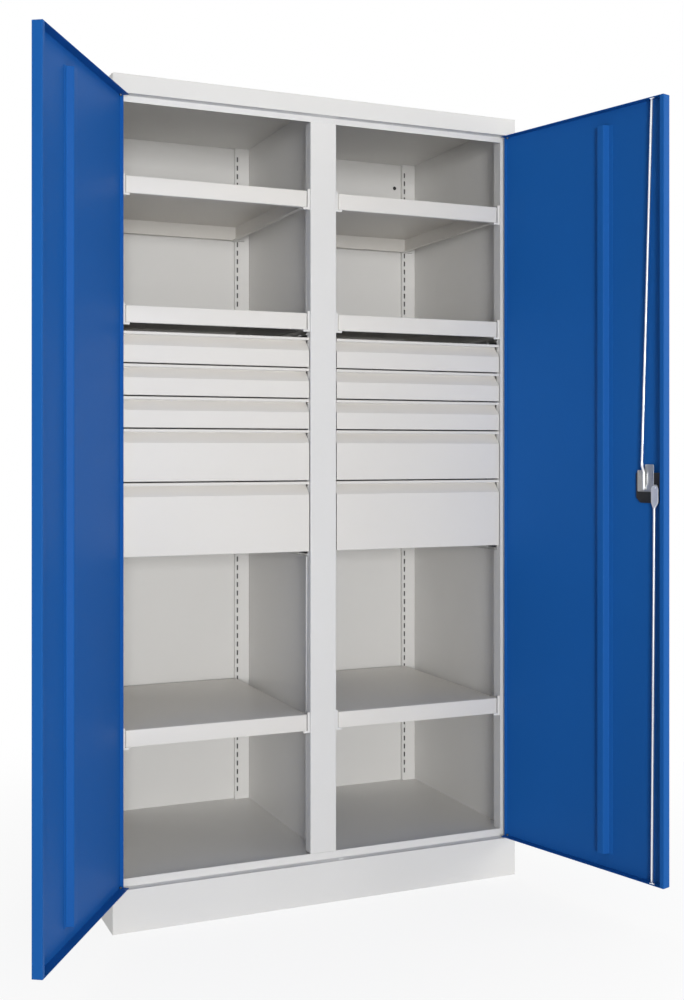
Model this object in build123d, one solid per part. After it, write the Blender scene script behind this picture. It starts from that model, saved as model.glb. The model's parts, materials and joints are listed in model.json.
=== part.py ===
from build123d import *
import math
import os

# Two-door storage cabinet, 1050 wide, 600 deep and 1950 high.
# +Z is up, the doors face -Y and +X is to the right as one faces the cabinet.
# The origin lies on the floor, in the middle of the carcass footprint.
# The doors stand open and the drawers are closed.

# Carcass sizes
cabinet_width = 1050.0
cabinet_depth = 600.0
cabinet_height = 1950.0
carcass_sheet = 1.2
partition_sheet = 1.2
fascia_height = 43.0
plinth_height = 98.0
top_strip = 14.0
bottom_strip = 18.0
floor_drop = 4.0
frame_width = 29.0
post_width = 68.0
return_depth = 34.0
hook_width = 14.0
back_inset = 14.0
rear_fold = 20.0
foot_flange = 20.0
floor_flange = 12.0
bearer_width = 60.0
bearer_flange = 16.0
bearer_setback = 36.0

# Slotted strips and the wall fixing holes
strip_sheet = 1.5
strip_depth = 12.0
strip_width = 42.0
slot_pitch = 24.0
slot_length = 14.0
slot_width = 4.0
slot_from_edge = 7.0
slot_end_margin = 22.0
wall_hole_radius = 4.5
wall_hole_spread = 924.0
wall_hole_drop = 71.0

# Shelves and their clips, with each shelf's top above the carcass floor
shelf_rises = (1614.0, 1317.0, 342.0)
shelf_sheet = 1.2
shelf_lip = 40.0
shelf_return = 13.0
shelf_side_gap = 7.0
clip_play = 0.8
shelf_setback = 3.0
shelf_back_gap = 3.5
shelf_corner = 4.0
clip_sheet = 1.2
clip_width = 14.0
clip_ledge = 17.0
clip_rise = 20.0
clip_setback = 4.0
clip_depth = 28.0
clip_over = 5.0
clip_foot = 5.0

# Drawers, from the top one down
drawer_heights = (72.0, 72.0, 72.0, 122.0, 170.0)
drawer_gap = 3.0
drawer_side_gap = 2.5
drawer_setback = 3.0
drawer_travel = 400.0
stack_gap = 19.0
front_sheet = 1.2
front_lip = 7.0
grip_depth = 21.0
grip_top = 9.0
grip_bottom = 32.0
front_return = 34.0
tray_sheet = 1.0
tray_top_drop = 6.0

# Drawer slides with nylon rollers
carrier_sheet = 1.5
carrier_setback = 14.0
carrier_top_gap = 5.0
carrier_below = 14.0
carrier_flange = 16.0
slide_gap = 13.5
slide_sheet = 1.2
slide_play = 0.3
slide_overlap = 90.0
rail_height = 20.0
rail_flange = 10.5
rail_setback = 30.0
rail_length = 486.0
roller_width = 6.5
roller_inset = 12.0
axle_radius = 2.5
runner_flange_gap = 1.0

# Screws that hold the slide carriers
screw_head_radius = 4.5
screw_head_height = 2.2
screw_shank_radius = 2.0
screw_length = 8.0
screw_play = 0.1
screw_from_edge = 5.0
screw_step = 47.0

# Doors
door_sheet = 1.2
door_depth = 22.0
door_clearance = 2.0
door_end_gap = 3.0
pillar_width = 10.0
door_pillar_gap = 3.0
door_meeting_gap = 4.0
hinge_flange = 9.0
edge_return = 10.0
pivot_inset = 6.5
pivot_depth = 4.5
pivot_radius = 3.0
pivot_play = 0.05
collar_radius = 4.4
pivot_tail = 6.0
pivot_reach = 3.0
corner_play = 1.0
left_door_angle = 122.1
right_door_angle = 105.5
stiffener_sheet = 1.0
stiffener_from_edge = 189.0
stiffener_top = 18.0
stiffener_base = 30.0
stiffener_flange = 12.0
stiffener_rise = 14.0
stiffener_end_gap = 35.0

# Lock on the right door, measured from the door's free edge and its bottom
spindle_from_edge = 48.0
spindle_height = 909.0
spindle_radius = 6.0
running_play = 0.05
crank_radius = 15.0
case_width = 77.0
case_height = 70.0
case_depth = 5.5
case_left = 13.0
case_below = 36.0
case_chamfer = 12.0
cover_rim = 3.0
cover_width = 46.0
cover_height = 50.0
cover_tab_width = 25.0
cover_tab_height = 13.0
cover_sheet = 1.2
cover_below = 10.0
crank_sheet = 1.5
crank_width = 14.0
crank_play = 0.3
knob_radius = 13.0
knob_height = 12.0
knob_bar_length = 76.0
knob_bar_width = 16.0
knob_bar_height = 12.0
knob_gap = 0.5
keyway_radius = 6.0
keyway_depth = 2.0
rod_radius = 3.0
rod_pin_radius = 2.5
rod_hole_from_edge = 40.0
rod_play = 0.7
rod_end_gap = 0.5
rod_joggle = 5.0
rod_joggle_low = 35.0
rod_joggle_high = 50.0
rod_bend_radius = 9.0
rod_eye_width = 20.0
rod_eye_above = 5.0
rod_eye_below = 38.0
rod_eye_sheet = 3.0
rod_tip_sway = 3.4

# Planes and places that follow from the sizes
front = -cabinet_depth / 2
rear = cabinet_depth / 2
side_inner = cabinet_width / 2 - carcass_sheet
door_recess = door_depth + door_clearance
face_plane = front + door_recess
back_plane = rear - back_inset
strip_face = back_plane - strip_depth
opening_top = cabinet_height - fascia_height
roof_under = cabinet_height - carcass_sheet
strip_top = plinth_height + bottom_strip
strip_under = opening_top - top_strip
floor_level = strip_top - floor_drop
partition_half = partition_sheet / 2
bay_inner = post_width / 2
bay_outer = cabinet_width / 2 - frame_width
bay_middle = (bay_inner + bay_outer) / 2
shelf_tops = tuple(floor_level + rise for rise in shelf_rises)
shelf_front = face_plane + shelf_setback
shelf_back = strip_face - shelf_back_gap
drawer_front_plane = face_plane + drawer_setback
drawer_half_width = (bay_outer - bay_inner) / 2 - drawer_side_gap
stack_top = shelf_tops[1] - shelf_lip - stack_gap
tray_front = drawer_front_plane + grip_depth + front_sheet
tray_depth = drawer_travel + slide_overlap
tray_half_width = (bay_outer - bay_inner) / 2 - carrier_sheet - slide_gap
roller_radius = (rail_height - 3 * slide_sheet - 4 * slide_play) / 2
rail_front = face_plane + rail_setback
door_bottom = plinth_height + door_end_gap
door_top = opening_top - door_end_gap
pillar_inner = cabinet_width / 2 - pillar_width
door_outer = pillar_inner - door_pillar_gap
door_free_edge = door_meeting_gap / 2
pivot_x = door_outer - pivot_inset
pivot_y = front + pivot_depth
spindle_x = door_free_edge + spindle_from_edge
spindle_z = door_bottom + spindle_height
case_face = front + door_sheet + case_depth
crank_back = case_face + cover_sheet + crank_play
crank_face = crank_back + crank_sheet
rod_y = crank_face + crank_play + rod_radius
rod_hole_x = door_free_edge + rod_hole_from_edge


def slab(x_range, y_range, z_range):
    """A box between two places on each axis."""
    size = [high - low for low, high in (x_range, y_range, z_range)]
    middle = [(high + low) / 2 for low, high in (x_range, y_range, z_range)]
    return Pos(*middle) * Box(*size)


def rod_along(axis, radius, start, length):
    """A cylinder from a start point along x, y or z."""
    direction = {"x": (1, 0, 0), "y": (0, 1, 0), "z": (0, 0, 1)}[axis]
    if length < 0:
        direction = tuple(-part for part in direction)
    return extrude(Plane(origin=start, z_dir=direction) * Circle(radius), amount=abs(length))


def folded_outline(points, thickness):
    """The closed section of a folded sheet, laid to the left of a line of points."""
    sides = []
    for (x1, y1), (x2, y2) in zip(points, points[1:]):
        length = math.hypot(x2 - x1, y2 - y1)
        sides.append(((x2 - x1) / length, (y2 - y1) / length))
    offset = []
    for place, (x, y) in enumerate(points):
        before = sides[max(place - 1, 0)]
        after = sides[min(place, len(sides) - 1)]
        sum_x = -before[1] - after[1]
        sum_y = before[0] + after[0]
        scale = 2 * thickness / (sum_x ** 2 + sum_y ** 2)
        offset.append((x + sum_x * scale, y + sum_y * scale))
    corners = list(points) + offset[::-1]
    return make_face(Polyline(*corners, close=True))


def along_x(section, x_range):
    """Carry a section drawn in y and z along x."""
    return extrude(Plane.YZ.offset(x_range[0]) * section, amount=x_range[1] - x_range[0])


def along_z(section, z_range):
    """Carry a section drawn in x and y along z."""
    return extrude(Plane.XY.offset(z_range[0]) * section, amount=z_range[1] - z_range[0])


def mirrored(shape):
    """The same piece on the other side of the cabinet's middle."""
    return mirror(shape, about=Plane.YZ)


def both_sides(shape):
    return [shape, mirrored(shape)]


def ledge_holes(z_range):
    """Holes through a ledge: one for each pivot pin and a slot for the lock's rod."""
    pin_radius = pivot_radius + pivot_play
    depth = z_range[1] - z_range[0]
    holes = both_sides(rod_along("z", pin_radius, (pivot_x, pivot_y, z_range[0]), depth))
    return holes + [rod_slot(z_range, door_free_edge)]


def rod_slot(z_range, free_edge):
    """The slot that a lock rod passes through, as wide as the rod's sway."""
    middle = free_edge + rod_hole_from_edge
    reach = rod_radius + rod_play
    slot = slab((middle - rod_tip_sway, middle + rod_tip_sway), (rod_y - reach, rod_y + reach), z_range)
    for end in (middle - rod_tip_sway, middle + rod_tip_sway):
        slot += rod_along("z", reach, (end, rod_y, z_range[0]), z_range[1] - z_range[0])
    return slot


def roof_panel():
    """Roof, fascia, ledge and strip folded from one sheet."""
    width = (-side_inner, side_inner)
    section = folded_outline(
        [
            (rear, cabinet_height - rear_fold),
            (rear, cabinet_height),
            (front, cabinet_height),
            (front, opening_top),
            (face_plane + carcass_sheet, opening_top),
        ],
        carcass_sheet,
    )
    roof = along_x(section, width)
    strip = (face_plane, face_plane + carcass_sheet)
    roof += slab((-bay_outer, bay_outer), strip, (strip_under, opening_top))
    for hole in ledge_holes((opening_top, opening_top + carcass_sheet)):
        roof -= hole
    return roof


def plinth():
    """Plinth front, foot flange, ledge and the doubled strip behind the doors."""
    section = folded_outline(
        [
            (front + foot_flange, 0),
            (front, 0),
            (front, plinth_height),
            (face_plane + carcass_sheet, plinth_height),
        ],
        -carcass_sheet,
    )
    base = along_x(section, (-side_inner, side_inner))
    strip = (face_plane, face_plane + 2 * carcass_sheet)
    base += slab((-bay_outer, bay_outer), strip, (plinth_height - carcass_sheet, strip_top))
    for hole in ledge_holes((plinth_height - carcass_sheet, plinth_height)):
        base -= hole
    return base


def side_panel():
    """The right side sheet with its folded pillar beside the door, front frame and rear flange."""
    sheet = (side_inner, side_inner + carcass_sheet)
    panel = slab(sheet, (front, rear), (0, cabinet_height))
    door_zone = (plinth_height, opening_top)
    panel += slab((pillar_inner, side_inner), (front, front + carcass_sheet), door_zone)
    pillar_wall = (pillar_inner, pillar_inner + carcass_sheet)
    panel += slab(pillar_wall, (front, face_plane + carcass_sheet), door_zone)
    frame_back = face_plane + return_depth
    face = (face_plane, face_plane + carcass_sheet)
    panel += slab((bay_outer, pillar_inner), face, door_zone)
    flange = (bay_outer, bay_outer + carcass_sheet)
    panel += slab(flange, (face_plane, frame_back), (floor_level, opening_top))
    hook = (bay_outer, bay_outer + hook_width)
    panel += slab(hook, (frame_back - carcass_sheet, frame_back), (floor_level, opening_top))
    fold = (cabinet_width / 2 - rear_fold, side_inner)
    panel += slab(fold, (rear - carcass_sheet, rear), (0, cabinet_height - rear_fold))
    for height in carrier_screw_heights():
        start = (bay_outer - screw_play, screw_y_places()[0], height)
        panel -= rod_along("x", screw_shank_radius + screw_play, start, carcass_sheet + 2 * screw_play)
    return panel


def back_panel():
    """The back sheet, with two holes for fixing the cabinet to a wall."""
    panel = slab((-side_inner, side_inner), (back_plane, back_plane + carcass_sheet), (0, roof_under))
    for side in (-1, 1):
        start = (side * wall_hole_spread / 2, back_plane, cabinet_height - wall_hole_drop)
        panel -= rod_along("y", wall_hole_radius, start, carcass_sheet)
    return panel


def floor_panel():
    """The carcass floor, turned down along its front edge behind the strip."""
    edge = face_plane + 2 * carcass_sheet
    section = folded_outline(
        [(back_plane, floor_level), (edge, floor_level), (edge, floor_level - floor_flange)],
        carcass_sheet,
    )
    return along_x(section, (-side_inner, side_inner))


def floor_bearer():
    """A hat section that carries the middle of the floor down to the ground."""
    half = bearer_width / 2
    under = floor_level - 2 * carcass_sheet
    section = folded_outline(
        [
            (-half - bearer_flange, under),
            (-half, under),
            (-half, 0),
            (half, 0),
            (half, under),
            (half + bearer_flange, under),
        ],
        carcass_sheet,
    )
    bearer = Plane.XZ * section
    length = back_plane - face_plane - bearer_setback
    return Pos(0, back_plane, 0) * extrude(bearer, amount=length)


def centre_post():
    """The hollow post between the two bays, standing on the bottom strip."""
    back = face_plane + return_depth
    post = slab((-bay_inner, bay_inner), (face_plane, back), (strip_top, strip_under))
    inside = (face_plane + carcass_sheet, back - carcass_sheet)
    post -= slab((carcass_sheet - bay_inner, bay_inner - carcass_sheet), inside, (strip_top, strip_under))
    throat = (back - carcass_sheet, back)
    post -= slab((-partition_half, partition_half), throat, (strip_top, strip_under))
    for height in carrier_screw_heights():
        start = (-bay_inner - screw_play, screw_y_places()[0], height)
        post -= rod_along("x", screw_shank_radius + screw_play, start, post_width + 2 * screw_play)
    return post


def centre_partition():
    """The sheet between the two bays."""
    depth = (face_plane + 2 * carcass_sheet, back_plane)
    return slab((-partition_half, partition_half), depth, (floor_level, roof_under))


def slotted_strips():
    """Four slotted channels in the back corners of the bays, their open sides to the back sheet."""
    height = (floor_level, roof_under)
    face = (strip_face, strip_face + strip_sheet)
    hollow = (strip_face + strip_sheet, back_plane)
    inner_edge = partition_half + strip_width
    outer_edge = side_inner - strip_width
    inner = slab((partition_half, inner_edge), (strip_face, back_plane), height)
    inner -= slab((partition_half + strip_sheet, inner_edge - strip_sheet), hollow, height)
    outer = slab((outer_edge, side_inner), (strip_face, back_plane), height)
    outer -= slab((outer_edge + strip_sheet, side_inner - strip_sheet), hollow, height)
    first = floor_level + slot_end_margin
    count = int((roof_under - slot_end_margin - slot_length - first) / slot_pitch) + 1
    half = slot_width / 2
    inner_slot = inner_edge - slot_from_edge
    outer_slot = outer_edge + slot_from_edge
    inner_cuts = []
    outer_cuts = []
    for number in range(count):
        low = first + number * slot_pitch
        slot_height = (low, low + slot_length)
        inner_cuts.append(slab((inner_slot - half, inner_slot + half), face, slot_height))
        outer_cuts.append(slab((outer_slot - half, outer_slot + half), face, slot_height))
    return both_sides(inner - inner_cuts) + both_sides(outer - outer_cuts)


def shelf(top):
    """A folded shelf with lips on all four sides and returns below."""
    left = bay_inner + shelf_side_gap
    right = bay_outer - shelf_side_gap
    bottom = top - shelf_lip
    body = slab((left, right), (shelf_front, shelf_back), (bottom, top))
    body = fillet(body.edges().filter_by(Axis.Z), shelf_corner)
    inner_x = (left + shelf_sheet, right - shelf_sheet)
    inner_y = (shelf_front + shelf_sheet, shelf_back - shelf_sheet)
    hollow = slab(inner_x, inner_y, (bottom + shelf_sheet, top - shelf_sheet))
    body -= fillet(hollow.edges().filter_by(Axis.Z), shelf_corner - shelf_sheet)
    mouth_x = (left + shelf_return, right - shelf_return)
    mouth_y = (shelf_front + shelf_return, shelf_back - shelf_return)
    return body - slab(mouth_x, mouth_y, (bottom, bottom + shelf_sheet))


def clips_for(top):
    """Two front clips on the frame's returns and two rear clips on the slotted strips."""
    bottom = top - shelf_lip
    ledge = (bottom - clip_sheet, bottom)
    rise = (bottom - clip_sheet, bottom + clip_rise)
    cheek = (bottom - clip_sheet, top + clip_over)
    cover = shelf_side_gap - clip_play
    foot = (bottom - clip_foot, bottom)
    clips = []
    clip_front = face_plane + clip_setback
    front_y = (clip_front, clip_front + clip_depth)
    rear_y = (strip_face - shelf_back_gap - clip_ledge, strip_face)
    for wall, inward in ((bay_inner, 1), (bay_outer, -1)):
        across = sorted((wall, wall + inward * clip_ledge))
        clip = slab(across, front_y, ledge)
        clip += slab(across, (clip_front, clip_front + clip_sheet), foot)
        clip += slab(sorted((wall, wall + inward * cover)), (clip_front, clip_front + clip_sheet), cheek)
        clip += slab(sorted((wall, wall + inward * clip_sheet)), front_y, cheek)
        clips.append(clip)
        tab = sorted((wall - inward, wall - inward * clip_width))
        clip = slab(sorted((wall - inward * clip_width, wall + inward * clip_ledge)), rear_y, ledge)
        clip += slab(tab, (strip_face - clip_sheet, strip_face), rise)
        clips.append(clip)
    return clips


def shelf_clips():
    clips = []
    for top in shelf_tops:
        for clip in clips_for(top):
            clips += both_sides(clip)
    return clips


def drawer_tops():
    """The top height of each drawer front, from the top drawer down."""
    tops = []
    level = stack_top
    for height in drawer_heights:
        tops.append(level)
        level -= height + drawer_gap
    return tops


def stack_bottom():
    return drawer_tops()[-1] - drawer_heights[-1]


def carrier_height():
    """The carriers reach from below the lowest drawer to just under the middle shelf."""
    return (stack_bottom() - carrier_below, stack_top + stack_gap - carrier_top_gap)


def carrier_screw_heights():
    """The heights of the carriers' screws, near their bottom and top ends."""
    low, high = carrier_height()
    return (low + screw_from_edge, high - screw_from_edge)


def screw_y_places():
    """One screw goes through the frame's return and the other one sits behind it."""
    first = face_plane + carrier_setback + screw_from_edge
    return (first, first + screw_step)


def carrier_plates():
    """Upright plates on both sides of each bay that carry the drawer rails."""
    height = carrier_height()
    depth = (face_plane + carrier_setback, strip_face)
    plates = []
    for wall, inward in ((bay_inner, 1), (bay_outer, -1)):
        plate = slab(sorted((wall, wall + inward * carrier_sheet)), depth, height)
        flange = sorted((wall - inward * carrier_flange, wall + inward * carrier_sheet))
        plate += slab(flange, (strip_face - carrier_sheet, strip_face), height)
        for place in screw_y_places():
            for level in carrier_screw_heights():
                start = (wall - inward * screw_play, place, level)
                reach = inward * (carrier_sheet + 2 * screw_play)
                plate -= rod_along("x", screw_shank_radius + screw_play, start, reach)
        plates += both_sides(plate)
    return plates


def carrier_screws():
    """Pan-head screws through the carrier plates."""
    screws = []
    for wall, inward in ((bay_inner, 1), (bay_outer, -1)):
        seat = wall + inward * carrier_sheet
        for place in screw_y_places():
            for level in carrier_screw_heights():
                screw = rod_along("x", screw_head_radius, (seat, place, level), inward * screw_head_height)
                screw += rod_along("x", screw_shank_radius, (seat, place, level), -inward * screw_length)
                screws += both_sides(screw)
    return screws


def rail_bottom(number):
    """The underside of a drawer's rails and runners, level with its tray."""
    return drawer_tops()[number] - drawer_heights[number] + front_sheet


def roller(web, inward, place, centre):
    """A nylon roller with its riveted axle, seated on a slide's web."""
    gap = slide_play
    wheel = rod_along("x", roller_radius, (web + inward * gap, place, centre), inward * roller_width)
    return wheel + rod_along("x", axle_radius, (web, place, centre), inward * (gap + roller_width / 2))


def drawer_rails():
    """The fixed C rails on the carrier plates, each with a roller at its front."""
    pieces = []
    depth = (rail_front, rail_front + rail_length)
    for number in range(len(drawer_heights)):
        low = rail_bottom(number)
        high = low + rail_height
        for wall, inward in ((bay_inner, 1), (bay_outer, -1)):
            seat = wall + inward * carrier_sheet
            web = seat + inward * slide_sheet
            tip = seat + inward * rail_flange
            rail = slab(sorted((seat, web)), depth, (low, high))
            rail += slab(sorted((seat, tip)), depth, (low, low + slide_sheet))
            rail += slab(sorted((seat, tip)), depth, (high - slide_sheet, high))
            centre = low + slide_sheet + slide_play + roller_radius
            wheel = roller(web, inward, rail_front + roller_inset, centre)
            pieces += both_sides(rail) + both_sides(wheel)
    return pieces


def drawer_front(number):
    """A folded front with a lip over a sloping finger grip."""
    top = drawer_tops()[number]
    near = drawer_front_plane
    bottom = top - drawer_heights[number]
    section = folded_outline(
        [
            (near, top - front_lip),
            (near, top),
            (near + grip_depth + front_sheet, top),
        ],
        -front_sheet,
    )
    section += folded_outline(
        [
            (near + grip_depth, top - front_sheet),
            (near + grip_depth, top - grip_top),
            (near, top - grip_bottom),
            (near, bottom),
            (near + front_return, bottom),
        ],
        front_sheet,
    )
    middle = bay_middle
    return along_x(section, (middle - drawer_half_width, middle + drawer_half_width))


def drawer_tray(number):
    """An open folded tray behind the front, standing on the front's bottom return."""
    low = rail_bottom(number)
    high = drawer_tops()[number] - tray_top_drop
    outer_x = (bay_middle - tray_half_width, bay_middle + tray_half_width)
    outer_y = (tray_front, tray_front + tray_depth)
    inner_x = (outer_x[0] + tray_sheet, outer_x[1] - tray_sheet)
    inner_y = (outer_y[0] + tray_sheet, outer_y[1] - tray_sheet)
    return slab(outer_x, outer_y, (low, high)) - slab(inner_x, inner_y, (low + tray_sheet, high))


def drawer_runners(number):
    """The moving runners on the tray's sides, each with a roller at its back."""
    low = rail_bottom(number)
    flange_top = low + rail_height - slide_sheet - 2 * slide_play
    pieces = []
    depth = (tray_front, tray_front + tray_depth)
    for side in (-1, 1):
        tray_side = bay_middle + side * tray_half_width
        web = tray_side + side * slide_sheet
        tip = tray_side + side * (slide_gap - slide_sheet - runner_flange_gap)
        runner = slab(sorted((tray_side, web)), depth, (low, flange_top))
        runner += slab(sorted((tray_side, tip)), depth, (flange_top - slide_sheet, flange_top))
        centre = low + slide_sheet + slide_play + roller_radius
        wheel = roller(web, side, tray_front + tray_depth - roller_inset, centre)
        pieces += [runner, wheel]
    return pieces


def door_pan(free_edge_side):
    """A folded door pan, closed, for the right side of the cabinet."""
    outer = door_outer
    inner = door_free_edge
    back = front + door_depth
    height = (door_bottom, door_top)
    pan = slab((inner, outer), (front, front + door_sheet), height)
    pan += slab((inner, inner + door_sheet), (front, back), height)
    pan += slab((inner, inner + door_sheet + edge_return), (back - door_sheet, back), height)
    pan += slab((outer - door_sheet, outer), (front, front + hinge_flange), height)
    for flange in ((door_bottom, door_bottom + door_sheet), (door_top - door_sheet, door_top)):
        end = slab((inner, outer), (front, back), flange)
        corner = slab((pivot_x, outer), (pivot_y, back), flange)
        sweep_radius = face_plane - pivot_y - corner_play
        corner -= rod_along("z", sweep_radius, (pivot_x, pivot_y, flange[0]), door_sheet)
        end -= corner
        pan += end
        pan -= rod_along("z", pivot_radius + pivot_play, (pivot_x, pivot_y, flange[0]), door_sheet)
        if free_edge_side == "lock":
            pan -= rod_slot(flange, inner)
    if free_edge_side == "lock":
        start = (spindle_x, front, spindle_z)
        pan -= rod_along("y", spindle_radius + running_play, start, door_sheet)
    return pan


def door_stiffener():
    """A hat section down the inside of the door's sheet."""
    middle = door_free_edge + stiffener_from_edge
    skin = front + door_sheet
    half_top = stiffener_top / 2
    half_base = stiffener_base / 2
    section = folded_outline(
        [
            (middle - half_base - stiffener_flange, skin),
            (middle - half_base, skin),
            (middle - half_top, skin + stiffener_rise),
            (middle + half_top, skin + stiffener_rise),
            (middle + half_base, skin),
            (middle + half_base + stiffener_flange, skin),
        ],
        stiffener_sheet,
    )
    return along_z(section, (door_bottom + stiffener_end_gap, door_top - stiffener_end_gap))


def pivot_pins():
    """Collared pins in the ledges that the doors turn on."""
    pins = []
    collar = door_end_gap - running_play
    sheets = ((plinth_height, -1, 1), (opening_top, 1, -1))
    for level, tail_way, door_way in sheets:
        foot = (pivot_x, pivot_y, level)
        pin = rod_along("z", pivot_radius, foot, tail_way * (carcass_sheet + pivot_tail))
        pin += rod_along("z", collar_radius, foot, door_way * collar)
        reach = door_end_gap + door_sheet + pivot_reach
        pin += rod_along("z", pivot_radius, foot, door_way * reach)
        pins += both_sides(pin)
    return pins


def lock_case():
    """The lock's case on the door's sheet, and the plate on it with a tab above the case."""
    left = door_free_edge + case_left
    low = spindle_z - case_below
    skin = front + door_sheet
    case = slab((left, left + case_width), (skin, case_face), (low, low + case_height))
    corner = (left + case_width, low)
    wedge = Polyline(
        corner,
        (corner[0] - case_chamfer, corner[1]),
        (corner[0], corner[1] + case_chamfer),
        close=True,
    )
    wedge = extrude(Plane.XZ * make_face(wedge), amount=-cabinet_depth, both=True)
    case -= wedge
    cover_left = spindle_x - spindle_radius - cover_rim
    cover_low = spindle_z - cover_below
    cover_top = cover_low + cover_height
    depth = (case_face, case_face + cover_sheet)
    cover = slab((cover_left, cover_left + cover_width), depth, (cover_low, cover_top))
    cover += slab((cover_left, cover_left + cover_tab_width), depth, (cover_top, cover_top + cover_tab_height))
    bore = rod_along("y", spindle_radius + running_play, (spindle_x, skin, spindle_z), case_depth + cover_sheet)
    return [case - bore, cover - bore]


def crank_pin_places():
    """The pins of the upper and the lower rod, level with the spindle when unlocked."""
    return (spindle_x + crank_radius, spindle_x - crank_radius)


def lock_crank():
    """The crank plate on its spindle."""
    upper, lower = crank_pin_places()
    half = crank_width / 2
    plate = slab((lower, upper), (crank_back, crank_face), (spindle_z - half, spindle_z + half))
    for place in (upper, lower):
        plate += rod_along("y", half, (place, crank_back, spindle_z), crank_sheet)
    for place in (upper, lower):
        hole = (place, crank_back, spindle_z)
        plate -= rod_along("y", rod_pin_radius + running_play, hole, crank_sheet)
    start = (spindle_x, front - knob_gap, spindle_z)
    return plate + rod_along("y", spindle_radius, start, crank_back - front + knob_gap)


def lock_knob():
    """The turning knob outside the door, upright when unlocked, with a round key cylinder recess."""
    seat = front - knob_gap
    start = (spindle_x, seat, spindle_z)
    knob = rod_along("y", knob_radius, start, -knob_height)
    half_length = knob_bar_length / 2
    half_width = knob_bar_width / 2
    outer = seat - knob_height
    bar = slab(
        (spindle_x - half_width, spindle_x + half_width),
        (outer - knob_bar_height, outer),
        (spindle_z - half_length, spindle_z + half_length),
    )
    bar = fillet(bar.edges().filter_by(Axis.Y), half_width * 0.95)
    knob += bar
    face = (spindle_x, outer - knob_bar_height, spindle_z)
    return knob - rod_along("y", keyway_radius, face, keyway_depth)


def rod_pin(place):
    """The pin by which a rod hangs in the crank."""
    length = rod_y - crank_back
    return rod_along("y", rod_pin_radius, (place, crank_back, spindle_z), length)


def upper_rod():
    """The rod from the crank, past a joggle, to the slot in the door's top flange."""
    place = crank_pin_places()[0]
    aside = place + rod_joggle
    points = [
        (place, rod_y, spindle_z - 2 * rod_radius),
        (place, rod_y, spindle_z + rod_joggle_low),
        (aside, rod_y, spindle_z + rod_joggle_high),
        (rod_hole_x, rod_y, door_top - rod_end_gap),
    ]
    path = FilletPolyline(*points, radius=rod_bend_radius)
    rod = sweep(Plane(origin=path @ 0, z_dir=path % 0) * Circle(rod_radius), path=path)
    return rod + rod_pin(place)


def lower_rod():
    """The rod from its flattened eye to the slot in the door's bottom flange."""
    place = crank_pin_places()[1]
    half = rod_eye_width / 2
    low = spindle_z - rod_eye_below
    eye = slab(
        (place - half, place + half),
        (rod_y - rod_radius, rod_y - rod_radius + rod_eye_sheet),
        (low, spindle_z + rod_eye_above),
    )
    start = Vector(place, rod_y, low)
    end = Vector(rod_hole_x, rod_y, door_bottom + rod_end_gap)
    run = end - start
    shaft = extrude(Plane(origin=start, z_dir=run) * Circle(rod_radius), amount=run.length)
    neck = extrude(Plane(origin=start, z_dir=run) * Circle(rod_radius), amount=-half)
    return eye + shaft + neck + rod_pin(place)


def opened_right(shape):
    """Turn a piece of the closed right door to where the door stands."""
    return shape.rotate(Axis((pivot_x, pivot_y, 0), (0, 0, 1)), right_door_angle)


def opened_left(shape):
    """Mirror a piece of the closed right door and turn it to the left door's place."""
    return mirrored(shape).rotate(Axis((-pivot_x, pivot_y, 0), (0, 0, 1)), -left_door_angle)


def carcass_nodes():
    side = side_panel()
    nodes = {
        "roof_panel": [roof_panel()],
        "plinth": [plinth()],
        "left_side_panel": [mirrored(side)],
        "right_side_panel": [side],
        "back_panel": [back_panel()],
        "floor_panel": [floor_panel()],
        "floor_bearer": [floor_bearer()],
        "centre_post": [centre_post()],
        "centre_partition": [centre_partition()],
        "slotted_strips": slotted_strips(),
        "shelf_clips": shelf_clips(),
        "slide_carriers": carrier_plates(),
        "carrier_screws": carrier_screws(),
        "drawer_rails": drawer_rails(),
        "door_pivot_pins": pivot_pins(),
    }
    for number, top in enumerate(shelf_tops, start=1):
        right = shelf(top)
        nodes["right_shelf_" + str(number)] = [right]
        nodes["left_shelf_" + str(number)] = [mirrored(right)]
    return nodes


def drawer_nodes():
    nodes = {}
    for number in range(len(drawer_heights)):
        label = "_drawer_" + str(number + 1)
        pieces = {
            "_front": [drawer_front(number)],
            "_tray": [drawer_tray(number)],
            "_runners": drawer_runners(number),
        }
        for ending, solids in pieces.items():
            nodes["right" + label + ending] = solids
            nodes["left" + label + ending] = [mirrored(solid) for solid in solids]
    return nodes


def door_nodes():
    stiffener = door_stiffener()
    return {
        "left_door_pan": [opened_left(door_pan("plain"))],
        "left_door_stiffener": [opened_left(stiffener)],
        "right_door_pan": [opened_right(door_pan("lock"))],
        "right_door_stiffener": [opened_right(stiffener)],
        "lock_case": [opened_right(piece) for piece in lock_case()],
        "lock_crank": [opened_right(lock_crank())],
        "lock_knob": [opened_right(lock_knob())],
        "upper_lock_rod": [opened_right(upper_rod())],
        "lower_lock_rod": [opened_right(lower_rod())],
    }


def write_parts():
    """Write one STEP file for each node."""
    os.makedirs("parts", exist_ok=True)
    nodes = {**carcass_nodes(), **drawer_nodes(), **door_nodes()}
    for name, shapes in nodes.items():
        solids = [solid for shape in shapes for solid in shape.solids()]
        export_step(Compound(children=solids), os.path.join("parts", name + ".step"))


write_parts()
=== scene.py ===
import json
import math

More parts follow.
